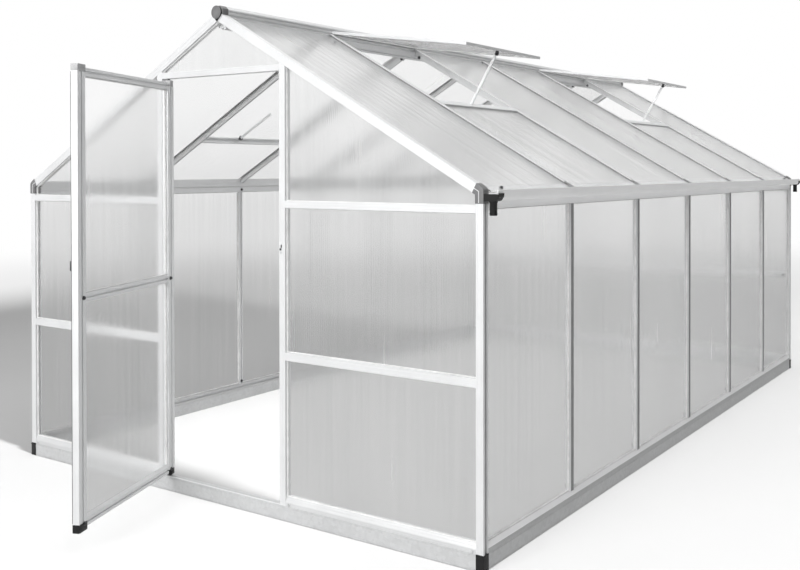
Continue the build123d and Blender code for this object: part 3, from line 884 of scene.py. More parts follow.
def bead_rubber():
    return moulded("pale_bead", "bead", low=0.5, high=0.65, grain=500.0)


# Sheets, beads and bolts

def polygon_area(corners):
    total = Vector()
    for first, second in zip(corners[1:], corners[2:]):
        total += (first - corners[0]).cross(second - corners[0])
    return total.length / 2


def sheet_frame(solid):
    """A sheet's outward normal, its flute direction, its across direction and its outline."""
    normal, corners = max(solid.faces, key=lambda face: polygon_area(face[1]))
    along = max((edge.normalized() for edge in solid.edges() if abs(edge.normalized().dot(normal)) < SQUARE),
                key=lambda edge: edge.z)
    across = along.cross(normal).normalized()
    return normal.copy(), along, across, corners


def sheet_piece(name, node, body, overlap=None, sharp=60.0):
    """The sheets of one CAD node with their flutes; the overlap is across them, under the bars."""
    sheets = settings_of("sheets")
    tree = bpy.data.node_groups.get("Twin-wall sheet") or sheet_tree()
    material = twinwall()
    reach = (overlap or sheets.overlap, sheets.overlap)
    joined = bmesh.new()
    for number, solid in enumerate(solids_of(node)):
        normal, along, across, corners = sheet_frame(solid)
        inner, outer = solid.span(normal)
        flat = [(corner.dot(across), corner.dot(along)) for corner in corners]
        low = [min(point[axis] for point in flat) - reach[axis] for axis in (0, 1)]
        high = [max(point[axis] for point in flat) + reach[axis] for axis in (0, 1)]
        mesh = evaluated(tree, bpy.data.meshes.new("sheet_base"), {
            "Width": high[0] - low[0], "Height": high[1] - low[1], "Thickness": outer - inner,
            "Pitch": sheets.pitch, "Ripple": sheets.ripple, "Material": material})
        layer = mesh.uv_layers.get("run") or mesh.uv_layers.new(name="run")
        offset = streak_offset(number)
        for loop in mesh.loops:
            spot = mesh.vertices[loop.vertex_index].co
            layer.data[loop.index].uv = (spot.x + offset, spot.y + offset)
        middle = across * (low[0] + high[0]) / 2 + along * (low[1] + high[1]) / 2 + normal * inner
        axes = (across, along, normal)
        add_part(joined, mesh, axes, middle, lambda part: trim(part, flat, axes, sheets.overlap))
    joined_piece(joined, name, material, body, "twinwall_sheet", (node,), sharp)


def trim(part, flat, axes, overlap):
    """Cuts a sheet along the slanting edges of its outline."""
    across, along, normal = axes
    points = flat if signed_area(flat) > 0 else flat[::-1]
    for start, end in zip(points, points[1:] + points[:1]):
        step = Vector((end[0] - start[0], end[1] - start[1])).normalized()
        if min(abs(step.x), abs(step.y)) < SQUARE:
            continue
        outward = across * step.y - along * step.x
        spot = across * start[0] + along * start[1] + outward * overlap
        shift = normal * part.verts[:][0].co.dot(normal)
        cut_off(part, spot + shift, outward)


def round_piece(name, paths, radius, material, body, slot, sharp=50.0):
    """Round beads along paths of points, as one piece; a path is (points, closed)."""
    tree = bpy.data.node_groups.get("Glazing bead") or bead_tree()
    verts, edges = [], []
    for points, closed in paths:
        first, count = len(verts), len(points)
        steps = range(count if closed else count - 1)
        edges += [(first + step, first + (step + 1) % count) for step in steps]
        verts += points
    base = bpy.data.meshes.new("bead_base")
    base.from_pydata(verts, edges, [])
    mesh = evaluated(tree, base, {"Radius": radius, "Material": material})
    mesh.shade_smooth()
    as_piece(mesh, name, material, body, slot, (), sharp)


def bead_piece(name, nodes, body, inset=1.2):
    """Pale beads round both faces of the sheets of some CAD nodes; the inset is in bead radii."""
    radius = settings_of("sheets").bead
    paths = []
    for solid in solids_of(*nodes):
        normal, _, _, corners = sheet_frame(solid)
        centre = sum(corners, Vector()) / len(corners)
        for level in solid.span(normal)[::-1]:
            loop = [corner + (centre - corner).normalized() * radius * inset
                    + normal * (level - corner.dot(normal)) for corner in corners]
            paths.append((loop, True))
    round_piece(name, paths, radius, bead_rubber(), body, "twinwall_sheet")


def seal_and_shadow_piece(name, nodes, body, inset=0.6):
    """Dark seals on the outside of the roof sheets, along the flanges of the bars; they also paint the shadow
    line beside each bar.
    """
    radius = settings_of("sheets").seal
    paths = []
    for solid in solids_of(*nodes):
        normal, along, across, corners = sheet_frame(solid)
        normal = normal if normal.z > 0 else -normal
        level = solid.span(normal)[1]
        middle = solid.centre.dot(across)
        for start, end in zip(corners, corners[1:] + corners[:1]):
            if abs((end - start).normalized().dot(along)) < 1 - SQUARE:
                continue
            inward = across * (radius * inset if start.dot(across) < middle else -radius * inset)
            line = [point + inward + normal * (level - point.dot(normal)) for point in (start, end)]
            paths.append((line, False))
    round_piece(name, paths, radius, seal_and_shadow_rubber(), body, "black_plastic")


def bolt_piece(name, places, body, material=None, slot="dark_metal", sharp=30.0):
    """Bolts at (place, facing) pairs."""
    fittings = settings_of("fittings")
    tree = bpy.data.node_groups.get("Bolts") or bolt_tree()
    base = bpy.data.meshes.new("bolt_base")
    base.from_pydata([place for place, _ in places], [], [])
    facing = base.attributes.new("facing", "FLOAT_VECTOR", "POINT")
    for number, (_, way) in enumerate(places):
        facing.data[number].vector = way
    material = material or fitting_metal()
    mesh = evaluated(tree, base, {"Head": fittings.bolt, "Height": fittings.bolt_height,
                                  "Washer": fittings.washer, "Material": material})
    as_piece(mesh, name, material, body, slot, (), sharp)


# Facing helpers

def gable_out(solid):
    return FRONT if solid.centre.y < MIDDLE_Y else BACK


def side_out(solid):
    return RIGHT if solid.centre.x > 0 else LEFT


def near_and_far(solid):
    """Places along the greenhouse of a solid's outer and inner face at its gable."""
    ends = solid.low.y, solid.high.y
    return ends if gable_out(solid).y < 0 else ends[::-1]


def door_frame():
    """The door leaf's outward direction and the direction across it."""
    rough = Vector((-1, -0.4, 0))
    outward = max((normal for normal, _ in solids_of("door_panels")[0].faces),
                  key=lambda normal: normal.dot(rough))
    return outward, UP.cross(outward).normalized()


# Operators

class GREENHOUSE_OT_base(bpy.types.Operator):
    """Base rails with folded edges, their black corner caps and the threshold strip"""
    bl_idname = "greenhouse.base"
    bl_label = "Base rails and caps"
    # Rails: place of their fold lines, the lines' width, depth and floor share, and the rails' softer edge
    fold_place, fold, softer = 0.86, (0.003, 0.0016, LINE_FLOOR), 1.6
    # Bands round the caps: height, how far they stand out, rounding, and distance from the inner faces
    band, band_out, band_edge, band_back = 0.004, 0.0008, 0.0006, 0.003
    # Threshold strip: setback, depth in the rail, inner edge, height over the rail and rounding
    strip_back, strip_sunk, strip_reach, strip_height, strip_edge = 0.0008, 0.0004, 0.006, 0.0024, 0.0007

    def execute(self, context):
        folds = [("out", place, *self.fold) for place in (-self.fold_place, self.fold_place)]
        for node, facing in (("front_base_rail", FRONT), ("back_base_rail", BACK),
                             ("left_base_rail", LEFT), ("right_base_rail", RIGHT)):
            profile_piece(node + "_folded", (node,), facing, folds, galvanised(), FIXED, "base_steel",
                          settings_of("profiles").edge * self.softer)
        caps = Shape()
        for solid in solids_of("base_corner_caps"):
            caps.solid(solid.outlines(), settings_of("fittings").cap_edge, segments=3)
            self.rim(caps, solid)
        caps.piece("base_caps_moulded", black_plastic(), FIXED, "black_plastic", ("base_corner_caps",))
        self.threshold()
        return {"FINISHED"}

    def rim(self, caps, solid):
        """A raised band round the cap's two outer faces, near its foot and its top."""
        for level in (solid.low.z + self.band, solid.high.z - self.band * 2):
            low, high = solid.low.copy(), solid.high.copy()
            low.z, high.z = level, level + self.band
            for axis, way in ((0, side_out(solid).x), (1, gable_out(solid).y)):
                low[axis] -= self.band_out
                high[axis] += self.band_out
                if way > 0:
                    low[axis] += self.band_back
                else:
                    high[axis] -= self.band_back
            caps.block(low, high, self.band_edge)

    def threshold(self):
        """Bright strip along the outer edge of the base rail in the doorway."""
        low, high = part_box("front_base_rail")
        left, right = sorted(solids_of("door_jambs"), key=lambda solid: solid.centre.x)
        strip = Shape()
        strip.block((left.high.x, low.y + self.strip_back, high.z - self.strip_sunk),
                    (right.low.x, low.y + self.strip_reach, high.z + self.strip_height), self.strip_edge)
        strip.piece("threshold_strip", aluminium(), FIXED, "aluminium_frame")


class GREENHOUSE_OT_frame(bpy.types.Operator):
    """Posts, sills, bars, rails, jambs, rafters, eave beams and ridge as profiles, with their painted shade
    and painted light strips
    """
    bl_idname = "greenhouse.frame"
    bl_label = "Aluminium frame"
    # Grooves: width, depth and floor share
    eave_channel, ridge_slot = (0.006, 0.004, 0.7), (0.008, 0.006, SLOT_FLOOR)
    # Levels of the ridge's side grooves, and their floor share
    ridge_levels, ridge_floor = (0.009, 0.0235, 0.038), 0.25
    # Channel in the posts' sides: place and width
    post_place, post_width = 0.0158, 0.0155
    # How far the rafters go into the eave caps, and the roof bars' finer edge
    rafter_sink, finer = 0.02, 0.8
    # Edges of the thin strips, as shares of their thickness
    strip_edge, slope_edge = 0.3, 0.2

    def execute(self, context):
        profiles = settings_of("profiles")
        line, slot = fine_line(profiles), ("in", 0.0, *bolt_slot(profiles))
        square, bars = frame_lines(profiles), bar_lines(profiles)
        sill = [("out", 0.0, *line), slot]
        eave = [("in", -0.2, *self.eave_channel), ("in", 0.45, *line),
                ("out", -0.3, *line), ("out", 0.3, *line)]
        groove = (profiles.ridge_groove, profiles.ridge_groove_depth, self.ridge_floor)
        ridge = [("side", level, *groove) for level in self.ridge_levels]
        ridge += [("out", -0.5, *line), ("out", 0.5, *line), ("in", 0.0, *self.ridge_slot)]
        post = square + [("side", self.post_place, self.post_width, profiles.post_channel, SLOT_FLOOR)]
        frame_piece("corner_posts", gable_out, post, aluminium())
        frame_piece("ridge_beam", UP, ridge, aluminium())
        for node, facing in (("front_rafters", FRONT), ("back_rafters", BACK)):
            frame_piece(node, facing, square, aluminium(), sink=self.rafter_sink)
        for node, facing in (("door_jambs", FRONT), ("door_header", FRONT), ("front_rails", FRONT),
                             ("back_gable_posts", BACK), ("back_rails", BACK)):
            frame_piece(node, facing, square, aluminium())
        # The darker aluminium of sills, wall bars and eave beams is painted shade
        for node, facing in (("front_sill_rails", FRONT), ("back_sill_rails", BACK)):
            frame_piece(node, facing, sill, dull_aluminium())
        for label, facing in (("left", LEFT), ("right", RIGHT)):
            frame_piece(f"{label}_wall_bars", facing, bars, dull_aluminium())
            frame_piece(f"{label}_sill_rail", facing, sill, sill_aluminium())
            frame_piece(f"{label}_eave_beam", facing, eave, dull_aluminium())
            # Pale strips: a painted highlight on the sill slopes and painted light on the eave faces
            self.strips(f"{label}_sill_slope", f"{label}_sill_rail", facing, gutter_coat_and_painted_light(), "aluminium_frame",
                        slope_section(profiles.cover), self.slope_edge)
            self.strips(f"{label}_eave_face", f"{label}_eave_beam", facing, gutter_coat_and_painted_light(), "aluminium_frame",
                        strip_section(0.0, profiles.cover))
            # Dark grey strips on the wall bars, and below in the posts' channels: painted shade
            self.strips(f"{label}_bar_covers", f"{label}_wall_bars", facing, painted_shade_strip(), "black_plastic",
                        strip_section(profiles.painted_strip_inset, profiles.cover))
        self.strips("post_strips", "corner_posts", side_out, painted_shade_strip(), "black_plastic",
                    strip_section(profiles.post_inset, profiles.cover, profiles.post_channel))
        # The roof bars' darker aluminium is painted shade
        for node in ("left_roof_bars", "right_roof_bars"):
            frame_piece(node, UP, [slot], dull_aluminium(), edge=self.finer, section=tee_section(profiles))
        return {"FINISHED"}

    def strips(self, name, node, facing, material, slot, section, edge=strip_edge):
        """Thin strips along the bars of one CAD node."""
        profile_piece(name, (node,), facing, [], material, FIXED, slot,
                      settings_of("profiles").cover * edge, 0.0, section)


class GREENHOUSE_OT_caps(bpy.types.Operator):
    """Eave corner caps as elbows with a pale line, and the ridge ends with their round plates"""
    bl_idname = "greenhouse.caps"
    bl_label = "Eave and ridge caps"
    # Elbow: step of its inner face, its top corner's setback and lift, its square end and its finer edge
    inner_step, top_back, top_lift, square_end, finer = 0.0125, 0.0285, 0.003, 0.036, 0.7
    # Its rounded shoulder: setback from the outer face and height over the eave line
    shoulder = ((0.0, -0.006), (0.003, 0.0), (0.009, 0.0055), (0.016, 0.0105))
    # Its pale line: place on the square end, setback and distance from the foot; depth, height and flat share
    line_drop, line_back, line_end = 0.019, 0.0185, 0.003
    line_sunk, line_proud, line_flat = 0.001, 0.0009, 0.6
    # Directions across the line at its start, its bend and its foot
    line_ways = (Vector((ROOF_RISE, 1.0)), Vector((1.0, 0.6)), Vector((1.0, 0.0)))
    # Hood: setback from the plate, drop of its saddle, its cut corners and the width of its top
    hood_back, saddle_drop, hood_corner, hood_top = 0.0085, 0.0075, 0.012, 0.5
    # Shield and plate: their share of the width, the shield's tip, setback and finer edge
    plate_share, shield_tip, shield_back, shield_finer = 0.9, 0.001, 0.003, 0.4
    # The plate's rings: share of its radius and depth
    plate_rings = ((0.98, -0.0032), (1.0, -0.0015), (0.98, -0.0006), (0.9, 0.0), (0.87, -0.0016),
                   (0.82, -0.0016), (0.79, -0.0004), (0.6, 0.0), (0.57, -0.0012), (0.53, -0.0012),
                   (0.5, -0.0002), (0.1, 0.0))

    def execute(self, context):
        fittings = settings_of("fittings")
        elbows, lines = Shape(), Shape()
        for solid in solids_of("eave_corner_caps"):
            self.elbow(elbows, lines, solid, fittings)
        # The grey of the elbows is painted light on black plastic
        elbows.piece("eave_caps_moulded", grey_plastic(), FIXED, "black_plastic", ("eave_corner_caps",))
        lines.piece("eave_cap_lines", aluminium(), FIXED, "aluminium_frame")
        hoods, shields, plates = Shape(), Shape(), Shape()
        for solid in solids_of("ridge_caps"):
            self.ridge_end(hoods, shields, plates, solid, fittings.cap_edge)
        # The grey hoods and plates are painted light on black plastic
        for shape, name, material in ((hoods, "ridge_hoods_moulded", grey_plastic()),
                                      (shields, "ridge_shields_moulded", black_plastic()),
                                      (plates, "ridge_plates_moulded", grey_plastic())):
            shape.piece(name, material, FIXED, "black_plastic", ("ridge_caps",))
        return {"FINISHED"}

    def elbow(self, shape, lines, solid, fittings):
        """Elbow from the rafter's square-cut end round to the post's top."""
        side, gable, foot = side_out(solid).x, gable_out(solid).y, solid.low.z
        outer = max(abs(solid.low.x), abs(solid.high.x))
        inner = min(abs(solid.low.x), abs(solid.high.x)) + self.inner_step
        bars_low, bars_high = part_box("right_roof_bars")
        eave = bars_high.z - (outer - bars_low.x) * ROOF_RISE
        down = Vector((ROOF_RISE, 1.0)).normalized()
        top = Vector((outer - self.top_back, eave + self.top_back * ROOF_RISE + self.top_lift))
        cut = top - down * self.square_end
        outline = [(outer, foot), *((outer - back, eave + lift) for back, lift in self.shoulder),
                   tuple(top), tuple(cut), (inner, cut.y - (inner - cut.x) * ROOF_RISE), (inner, foot)]
        shape.prism(*lengthwise(outline, (solid.low.y, solid.high.y), side), fittings.cap_edge * self.finer)
        face = near_and_far(solid)[0]
        spot = top - down * self.line_drop
        bend = outer - self.line_back
        places = (spot, Vector((bend, spot.y - (bend - spot.x) * ROOF_RISE)),
                  Vector((bend, foot + self.line_end)))
        rings = []
        for place, way in zip(places, self.line_ways):
            half = way.normalized() * fittings.rib / 2
            flat = half * self.line_flat
            section = ((place + half, -self.line_sunk), (place + flat, self.line_proud),
                       (place - flat, self.line_proud), (place - half, -self.line_sunk))
            rings.append([Vector((side * x, face + gable * lift, z)) for (x, z), lift in section])
        lines.sweep(rings)

    def ridge_end(self, hoods, shields, plates, solid, edge):
        """Hood over the ridge's end, a pointed back plate and a round front plate with rings."""
        gable = gable_out(solid).y
        half, top = solid.high.x, solid.high.z
        near, far = near_and_far(solid)
        seat = near - gable * self.hood_back
        saddle, corner = top - half - self.saddle_drop, top - self.hood_corner
        outline = [(-half, saddle), (0.0, saddle + half * ROOF_RISE), (half, saddle), (half, corner),
                   (half * self.hood_top, top), (-half * self.hood_top, top), (-half, corner)]
        hoods.prism(*lengthwise(outline, (far, seat)), edge)
        radius, centre = half * self.plate_share, top - half * self.plate_share
        arc = [math.radians(turn) for turn in range(-20, 201, 20)]
        shield = [(radius * math.cos(turn), centre + radius * math.sin(turn)) for turn in arc]
        shield.append((0.0, solid.low.z + self.shield_tip))
        shields.prism(*lengthwise(shield, (seat, near - gable * self.shield_back)), edge * self.shield_finer)
        plates.turned([(radius * share, depth) for share, depth in self.plate_rings],
                      Vector((0.0, near, centre)), gable_out(solid), sides=36)


class GREENHOUSE_OT_gutters(bpy.types.Operator):
    """Gutter troughs with a folded lip, and the black outlets and end"""
    bl_idname = "greenhouse.gutters"
    bl_label = "Gutters and outlets"
    # Trough: how far it goes into its outlets, its distance inside the CAD face and over the CAD floor
    into_outlet, face_back, floor_lift = 0.028, 0.0012, 0.001
    # Outlet sleeve: distance out of the face, under the floor and below the lip; its wall and wider bend
    sleeve_out, sleeve_under, sleeve_drop = 0.0012, 0.002, 0.014
    sleeve_wall, wider_bend = 0.003, 0.002
    # Its end wall's places, out of and into the sleeve
    wall_out, wall_in = 0.001, 0.003
    # Its lip: distance out of the sleeve's face and height over its top
    lip = ((-0.001, -0.012), (0.002, -0.01), (0.003, 0.003), (0.0, 0.003))
    # Spout: distance from the outlet's outer face, radius, bore and chamfer
    spout_back, pipe, bore, chamfer = 0.028, 0.0125, 0.0100, 0.0008
    # Its raised ring: levels and height; and the collar under the sleeve: height, width and overlap
    ring_levels, ring_out = (0.004, 0.005, 0.008, 0.009), 0.0012
    collar, collar_out, overlap = 0.006, 0.003, 0.001

    def execute(self, context):
        profiles = settings_of("profiles")
        for label, side in (("left", -1), ("right", 1)):
            nodes = (f"{label}_gutter_floor", f"{label}_gutter_face")
            boxes = [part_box(node) for node in nodes]
            ends = (boxes[0][0].y - self.into_outlet, boxes[0][1].y + self.into_outlet)
            reaches = [abs(corner.x) for box in boxes for corner in box]
            inner, outer = min(reaches), max(reaches) - self.face_back
            floor, top = boxes[0][0].z + self.floor_lift, boxes[1][1].z
            section = self.trough(inner, outer, floor, top, profiles.gutter_wall, profiles.gutter_bend,
                                  profiles.gutter_lip)
            shape = Shape()
            shape.sweep(lengthwise(section, ends, side), streak_offset(side + 3))
            shape.piece(f"{label}_gutter_trough", gutter_coat_and_painted_light(), FIXED, "aluminium_frame", nodes)
        for node, name, spout in (("gutter_outlets", "gutter_outlets_moulded", True),
                                  ("gutter_end_cap", "gutter_end_moulded", False)):
            shape = Shape()
            for solid in solids_of(node):
                self.outlet(shape, solid, profiles, spout)
            shape.piece(name, black_plastic(), FIXED, "black_plastic", (node,))
        return {"FINISHED"}

    def trough(self, inner, outer, floor, top, wall, bend, lip=0.0):
        """J-shaped section of (x, z): floor, rounded corner, outer wall and an inward lip."""
        arc = [math.radians(turn) for turn in range(-90, 1, 15)]
        outside, inside = ([(outer - bend + radius * math.cos(turn), floor + bend + radius * math.sin(turn))
                            for turn in arc] for radius in (bend, bend - wall))
        rim = [(outer - wall, top)]
        if lip:
            rim = [(outer - lip, top), (outer - lip, top - wall), (outer - wall, top - wall)]
        return [(inner, floor), *outside, (outer, top), *rim, *inside[::-1], (inner, floor + wall)]

    def outlet(self, shape, solid, profiles, spout):
        """Sleeve round the gutter's end, its closing wall and its spout."""
        side, gable = side_out(solid).x, gable_out(solid).y
        inner, outer = sorted(abs(value) for value in (solid.low.x, solid.high.x))
        outer += self.sleeve_out
        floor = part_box("right_gutter_floor")[0].z - self.sleeve_under
        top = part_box("right_gutter_face")[1].z - self.sleeve_drop
        near, far = near_and_far(solid)
        bend = profiles.gutter_bend + self.wider_bend
        section = self.trough(inner, outer, floor, top, self.sleeve_wall, bend)
        shape.sweep(lengthwise(section, (near, far), side))
        closing = section[:len(section) // 2] + [(inner, top)]
        shape.sweep(lengthwise(closing, (near + gable * self.wall_out, near - gable * self.wall_in), side))
        lip = [(outer + out, top + lift) for out, lift in self.lip]
        shape.sweep(lengthwise(lip, (near, far), side))
        if spout:
            across = side * (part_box("gutter_outlets")[1].x - self.spout_back)
            self.add_spout(shape, Vector((across, (near + far) / 2, solid.low.z)), floor - solid.low.z)

    def add_spout(self, shape, foot, reach):
        """Pipe with a raised ring near its mouth and a collar under the sleeve."""
        low, ring_low, ring_high, high = self.ring_levels
        pipe, ring, collar = self.pipe, self.pipe + self.ring_out, self.pipe + self.collar_out
        shape.turned([(self.bore, 0.0), (pipe - self.chamfer, 0.0), (pipe, self.chamfer), (pipe, low),
                      (ring, ring_low), (ring, ring_high), (pipe, high), (pipe, reach - self.collar),
                      (collar, reach), (collar, reach + self.overlap), (self.bore, reach + self.overlap),
                      (self.bore, self.overlap / 2)], foot, UP, sides=28)


class GREENHOUSE_OT_sheets(bpy.types.Operator):
    """Fluted twin-wall sheets of the walls, the roof and the gables, with their beads, and seals that also
    paint the shadow line along the roof bars
    """
    bl_idname = "greenhouse.sheets"
    bl_label = "Twin-wall sheets"

    def execute(self, context):
        walls = ("left_wall_panels", "right_wall_panels", "front_panels", "front_gable_panels", "back_panels",
                 "back_gable_panels")
        roof = ("left_roof_panels", "right_roof_panels")
        for node in walls:
            sheet_piece(node + "_fluted", node, FIXED)
        for node in roof:
            sheet_piece(node + "_fluted", node, FIXED, settings_of("sheets").roof_overlap)
        bead_piece("glazing_beads", walls, FIXED)
        seal_and_shadow_piece("roof_seals", roof, FIXED)
        return {"FINISHED"}


class GREENHOUSE_OT_vents(bpy.types.Operator):
    """Roof vents: bars, panes, perforated stays and their brackets"""
    bl_idname = "greenhouse.vents"
    bl_label = "Roof vents"
    # The bars' finer edge and the brackets' rounding
    finer, bracket_edge = 0.8, 0.001
    # Drop of the bolts below the brackets' middles, and thickness of the stay under a front bolt
    bolt_drop, stay_thick = 0.004, 0.004

    def execute(self, context):
        profiles = settings_of("profiles")
        line = [("out", 0.0, *fine_line(profiles))]
        for node in ("vent_sills", "vent_hinge_bars", "vent_edge_bars", "vent_side_bars"):
            frame_piece(node, UP, line, aluminium(), edge=self.finer,
                        section=tee_section(profiles) if node == "vent_sills" else None)
        sheet_piece("vent_panes_fluted", "vent_panes", FIXED)
        bead_piece("vent_beads", ("vent_panes",), FIXED)
        self.stays()
        brackets, bolts = Shape(), []
        for solid in solids_of("vent_stay_brackets"):
            brackets.solid(solid.outlines(), self.bracket_edge)
            half = (solid.high.y - solid.low.y) / 2
            bolts.append((solid.centre + Vector((0, half, -self.bolt_drop)), BACK))
            bolts.append((solid.centre - Vector((0, half + self.stay_thick, self.bolt_drop)), FRONT))
        brackets.piece("vent_brackets_pressed", fitting_metal(), FIXED, "dark_metal", ("vent_stay_brackets",))
        bolt_piece("vent_bolts", bolts, FIXED)
        return {"FINISHED"}

    def stays(self):
        """Flat bars with holes along the CAD stays; a foot on a sill keeps its slanted cut."""
        fittings = settings_of("fittings")
        tree = bpy.data.node_groups.get("Vent stay") or stay_tree()
        joined = bmesh.new()
        for solid in solids_of("vent_stays"):
            run = Run(solid, FRONT)
            first = min(corner.dot(run.axis) for corner in run.first[1])
            last = max(corner.dot(run.axis) for corner in run.last[1])
            wide, thick = solid.span(run.across), solid.span(run.out)
            mesh = evaluated(tree, bpy.data.meshes.new("stay_base"), {
                "Length": last - first, "Width": wide[1] - wide[0], "Thickness": thick[1] - thick[0],
                "Hole": fittings.stay_hole, "Pitch": fittings.stay_pitch, "Material": aluminium()})
            place = run.axis * first + run.across * sum(wide) / 2 + run.out * sum(thick) / 2
            axes = (run.axis, run.across, run.axis.cross(run.across))
            add_part(joined, mesh, axes, place, lambda part: self.square_off(part, run))
        joined_piece(joined, "vent_stays_perforated", aluminium(), FIXED, "aluminium_frame", ("vent_stays",))

    def square_off(self, part, run):
        """Cuts a stay along the ends of its CAD solid."""
        for normal, corners in (run.first, run.last):
            cut_off(part, corners[0], normal)


class GREENHOUSE_OT_door(bpy.types.Operator):
    """Door leaf: stiles, rails, sheets, caps, pivots and latch; its pins, and the keeper on the jamb"""
    bl_idname = "greenhouse.door"
    bl_label = "Door"
    # Caps: how much wider than the stile, and how far they reach along it; and the pivots' rounding
    cap_wider, lower_reach, upper_reach, pivot_edge = 1.03, 0.012, -0.008, 0.0012
    # Edge seal: width, gap to the edge, depth, height, distance from the stile's foot and top, and rounding
    seal_width, seal_gap, seal_sunk, seal_out = 0.004, 0.0002, 0.0004, 0.0022
    seal_foot, seal_top, seal_edge = 0.014, 0.01, 0.0006
    # Sloped bead: distance from the inner faces of the sheet and the rail, depth, and its two heights
    slope_back, slope_front, slope_sunk, slope_low, slope_high = 0.0006, 0.001, 0.0004, 0.0014, 0.0105
    # Latch: plate thickness and rounding, distance of its screws from its ends
    plate, plate_edge, screw_place = 0.003, 0.0009, 0.006
    # Its lever: half width, thickness, reach below and above the boss, and rounding
    lever_half, lever, lever_low, lever_high, lever_edge = 0.006, 0.006, 0.007, 0.028, 0.0022
    # Turned pieces of the latch: radius and height
    boss_rings = ((0.0068, 0.0), (0.0062, 0.002), (0.006, 0.008), (0.0072, 0.009), (0.0072, 0.0095))
    button_rings = ((0.0035, 0.0), (0.0035, 0.001), (0.002, 0.0016))
    screw_rings = ((0.0032, 0.0), (0.0032, 0.0009), (0.002, 0.0016), (0.0005, 0.0017))
    # Keeper: plate thickness, foot and rounding; its rings' distance from its ends and from the jamb
    keeper_plate, keeper_foot, keeper_edge = 0.0018, 0.004, 0.0007
    ring_low, ring_high, ring_out = 0.004, 0.005, 0.0022
    # The keeper's rings: radius, width and depth of their round section
    ring_radius, ring_wide, ring_deep = 0.0046, 0.0012, 0.0014
    # Its stops: inset on the left, the front and the right, lower and upper level and rounding
    stops = ((0.002, 0.0, 0.002, 0.0105, 0.0185, 0.001), (0.007, 0.001, 0.0, 0.02, 0.032, 0.0008))
    stop_seat = 0.001
    # The pins' chamfer and the distance of the rail bolts from the rails' ends
    pin_edge, bolt_place = 0.0006, 0.015

    def execute(self, context):
        outward, across = door_frame()
        turn = Matrix((across, outward, UP)).transposed().to_4x4()
        for node in ("door_hinge_stile", "door_free_stile", "door_rails"):
            frame_piece(node, outward, frame_lines(settings_of("profiles")), aluminium(), SWINGING)
        sheet_piece("door_panels_fluted", "door_panels", SWINGING)
        bead_piece("door_beads", ("door_panels",), SWINGING)
        self.caps()
        self.edge_seal(outward, across)
        self.rail_slope(outward, across)
        self.latch(outward, across, turn)
        self.keeper()
        self.pins()
        self.rail_bolts(outward)
        return {"FINISHED"}

    def caps(self):
        """Corner caps and pivot blocks, black below and pale above."""
        for node, edge, label in (("door_corner_caps", settings_of("fittings").cap_edge, "door_caps"),
                                  ("door_pivot_blocks", self.pivot_edge, "door_pivots")):
            for part, material, reach in (("lower", black_plastic(), self.lower_reach),
                                          ("upper", pale_plastic(), self.upper_reach)):
                shape = Shape()
                for solid in solids_of(node):
                    if (solid.centre.z < LATCH_LEVEL) == (part == "lower"):
                        sleeved = label == "door_caps"
                        shape.solid(self.sleeve(solid, reach) if sleeved else solid.outlines(), edge)
                shape.piece(f"{label}_{part}", material, SWINGING, "black_plastic", (node,))

    def sleeve(self, solid, reach):
        """Faces of a cap that also covers the stile's end."""
        faces = []
        for corners in solid.outlines():
            face = []
            for corner in corners:
                spread = solid.centre + (corner - solid.centre) * self.cap_wider
                longer = reach if (corner.z - solid.centre.z) * reach > 0 else 0.0
                face.append(Vector((spread.x, spread.y, corner.z + longer)))
            faces.append(face)
        return faces

    def edge_seal(self, outward, across):
        """Dark lip along the free stile's outer edge, which closes against the jamb."""
        stile, hinge = solids_of("door_free_stile")[0], solids_of("door_hinge_stile")[0]
        if (stile.centre - hinge.centre).dot(across) < 0:
            across = -across
        turn = Matrix((across, outward, UP)).transposed().to_4x4()
        edge, face = stile.span(across)[1], stile.span(outward)[1]
        shape = Shape()
        shape.block((edge - self.seal_width, face - self.seal_sunk, stile.low.z + self.seal_foot),
                    (edge - self.seal_gap, face + self.seal_out, stile.high.z - self.seal_top),
                    self.seal_edge, turn)
        shape.piece("door_edge_seal", seal_and_shadow_rubber(), SWINGING, "black_plastic")

    def rail_slope(self, outward, across):
        """Sloped bead between the lower rail and its sheet."""
        rail, sheet = (min(solids_of(node), key=lambda solid: solid.centre.z)
                       for node in ("door_rails", "door_panels"))
        back = sheet.span(outward)[0] + self.slope_back
        front = rail.span(outward)[0] + self.slope_front
        low = rail.high.z - self.slope_sunk
        section = [(back, low), (front, low), (front, low + self.slope_low), (back, low + self.slope_high)]
        shape = Shape()
        shape.sweep([[across * along + outward * deep + UP * level for deep, level in section]
                     for along in rail.span(across)])
        shape.piece("door_rail_slope", aluminium(), SWINGING, "aluminium_frame")

    def latch(self, outward, across, turn):
        """Turn latch: back plate with two screws, boss and a rounded lever."""
        solid = solids_of("door_latch")[0]
        (back, tip), wide = solid.span(outward), solid.span(across)
        middle, half = sum(wide) / 2, (wide[1] - wide[0]) / 2
        low, high = solid.low.z, solid.high.z
        height, face = (low + high) / 2, back + self.plate
        shape = Shape()
        shape.block((middle - half, back, low), (middle + half, face, high), self.plate_edge, turn)
        shape.turned(self.boss_rings, across * middle + outward * face + UP * height, outward)
        shape.block((middle - self.lever_half, tip - self.lever, height - self.lever_low),
                    (middle + self.lever_half, tip, height + self.lever_high), self.lever_edge, turn)
        shape.turned(self.button_rings, across * middle + outward * tip + UP * height, outward)
        for level in (low + self.screw_place, high - self.screw_place):
            shape.turned(self.screw_rings, across * middle + outward * face + UP * level, outward, sides=16)
        shape.piece("door_latch_turned", fitting_metal(), SWINGING, "dark_metal", ("door_latch",))

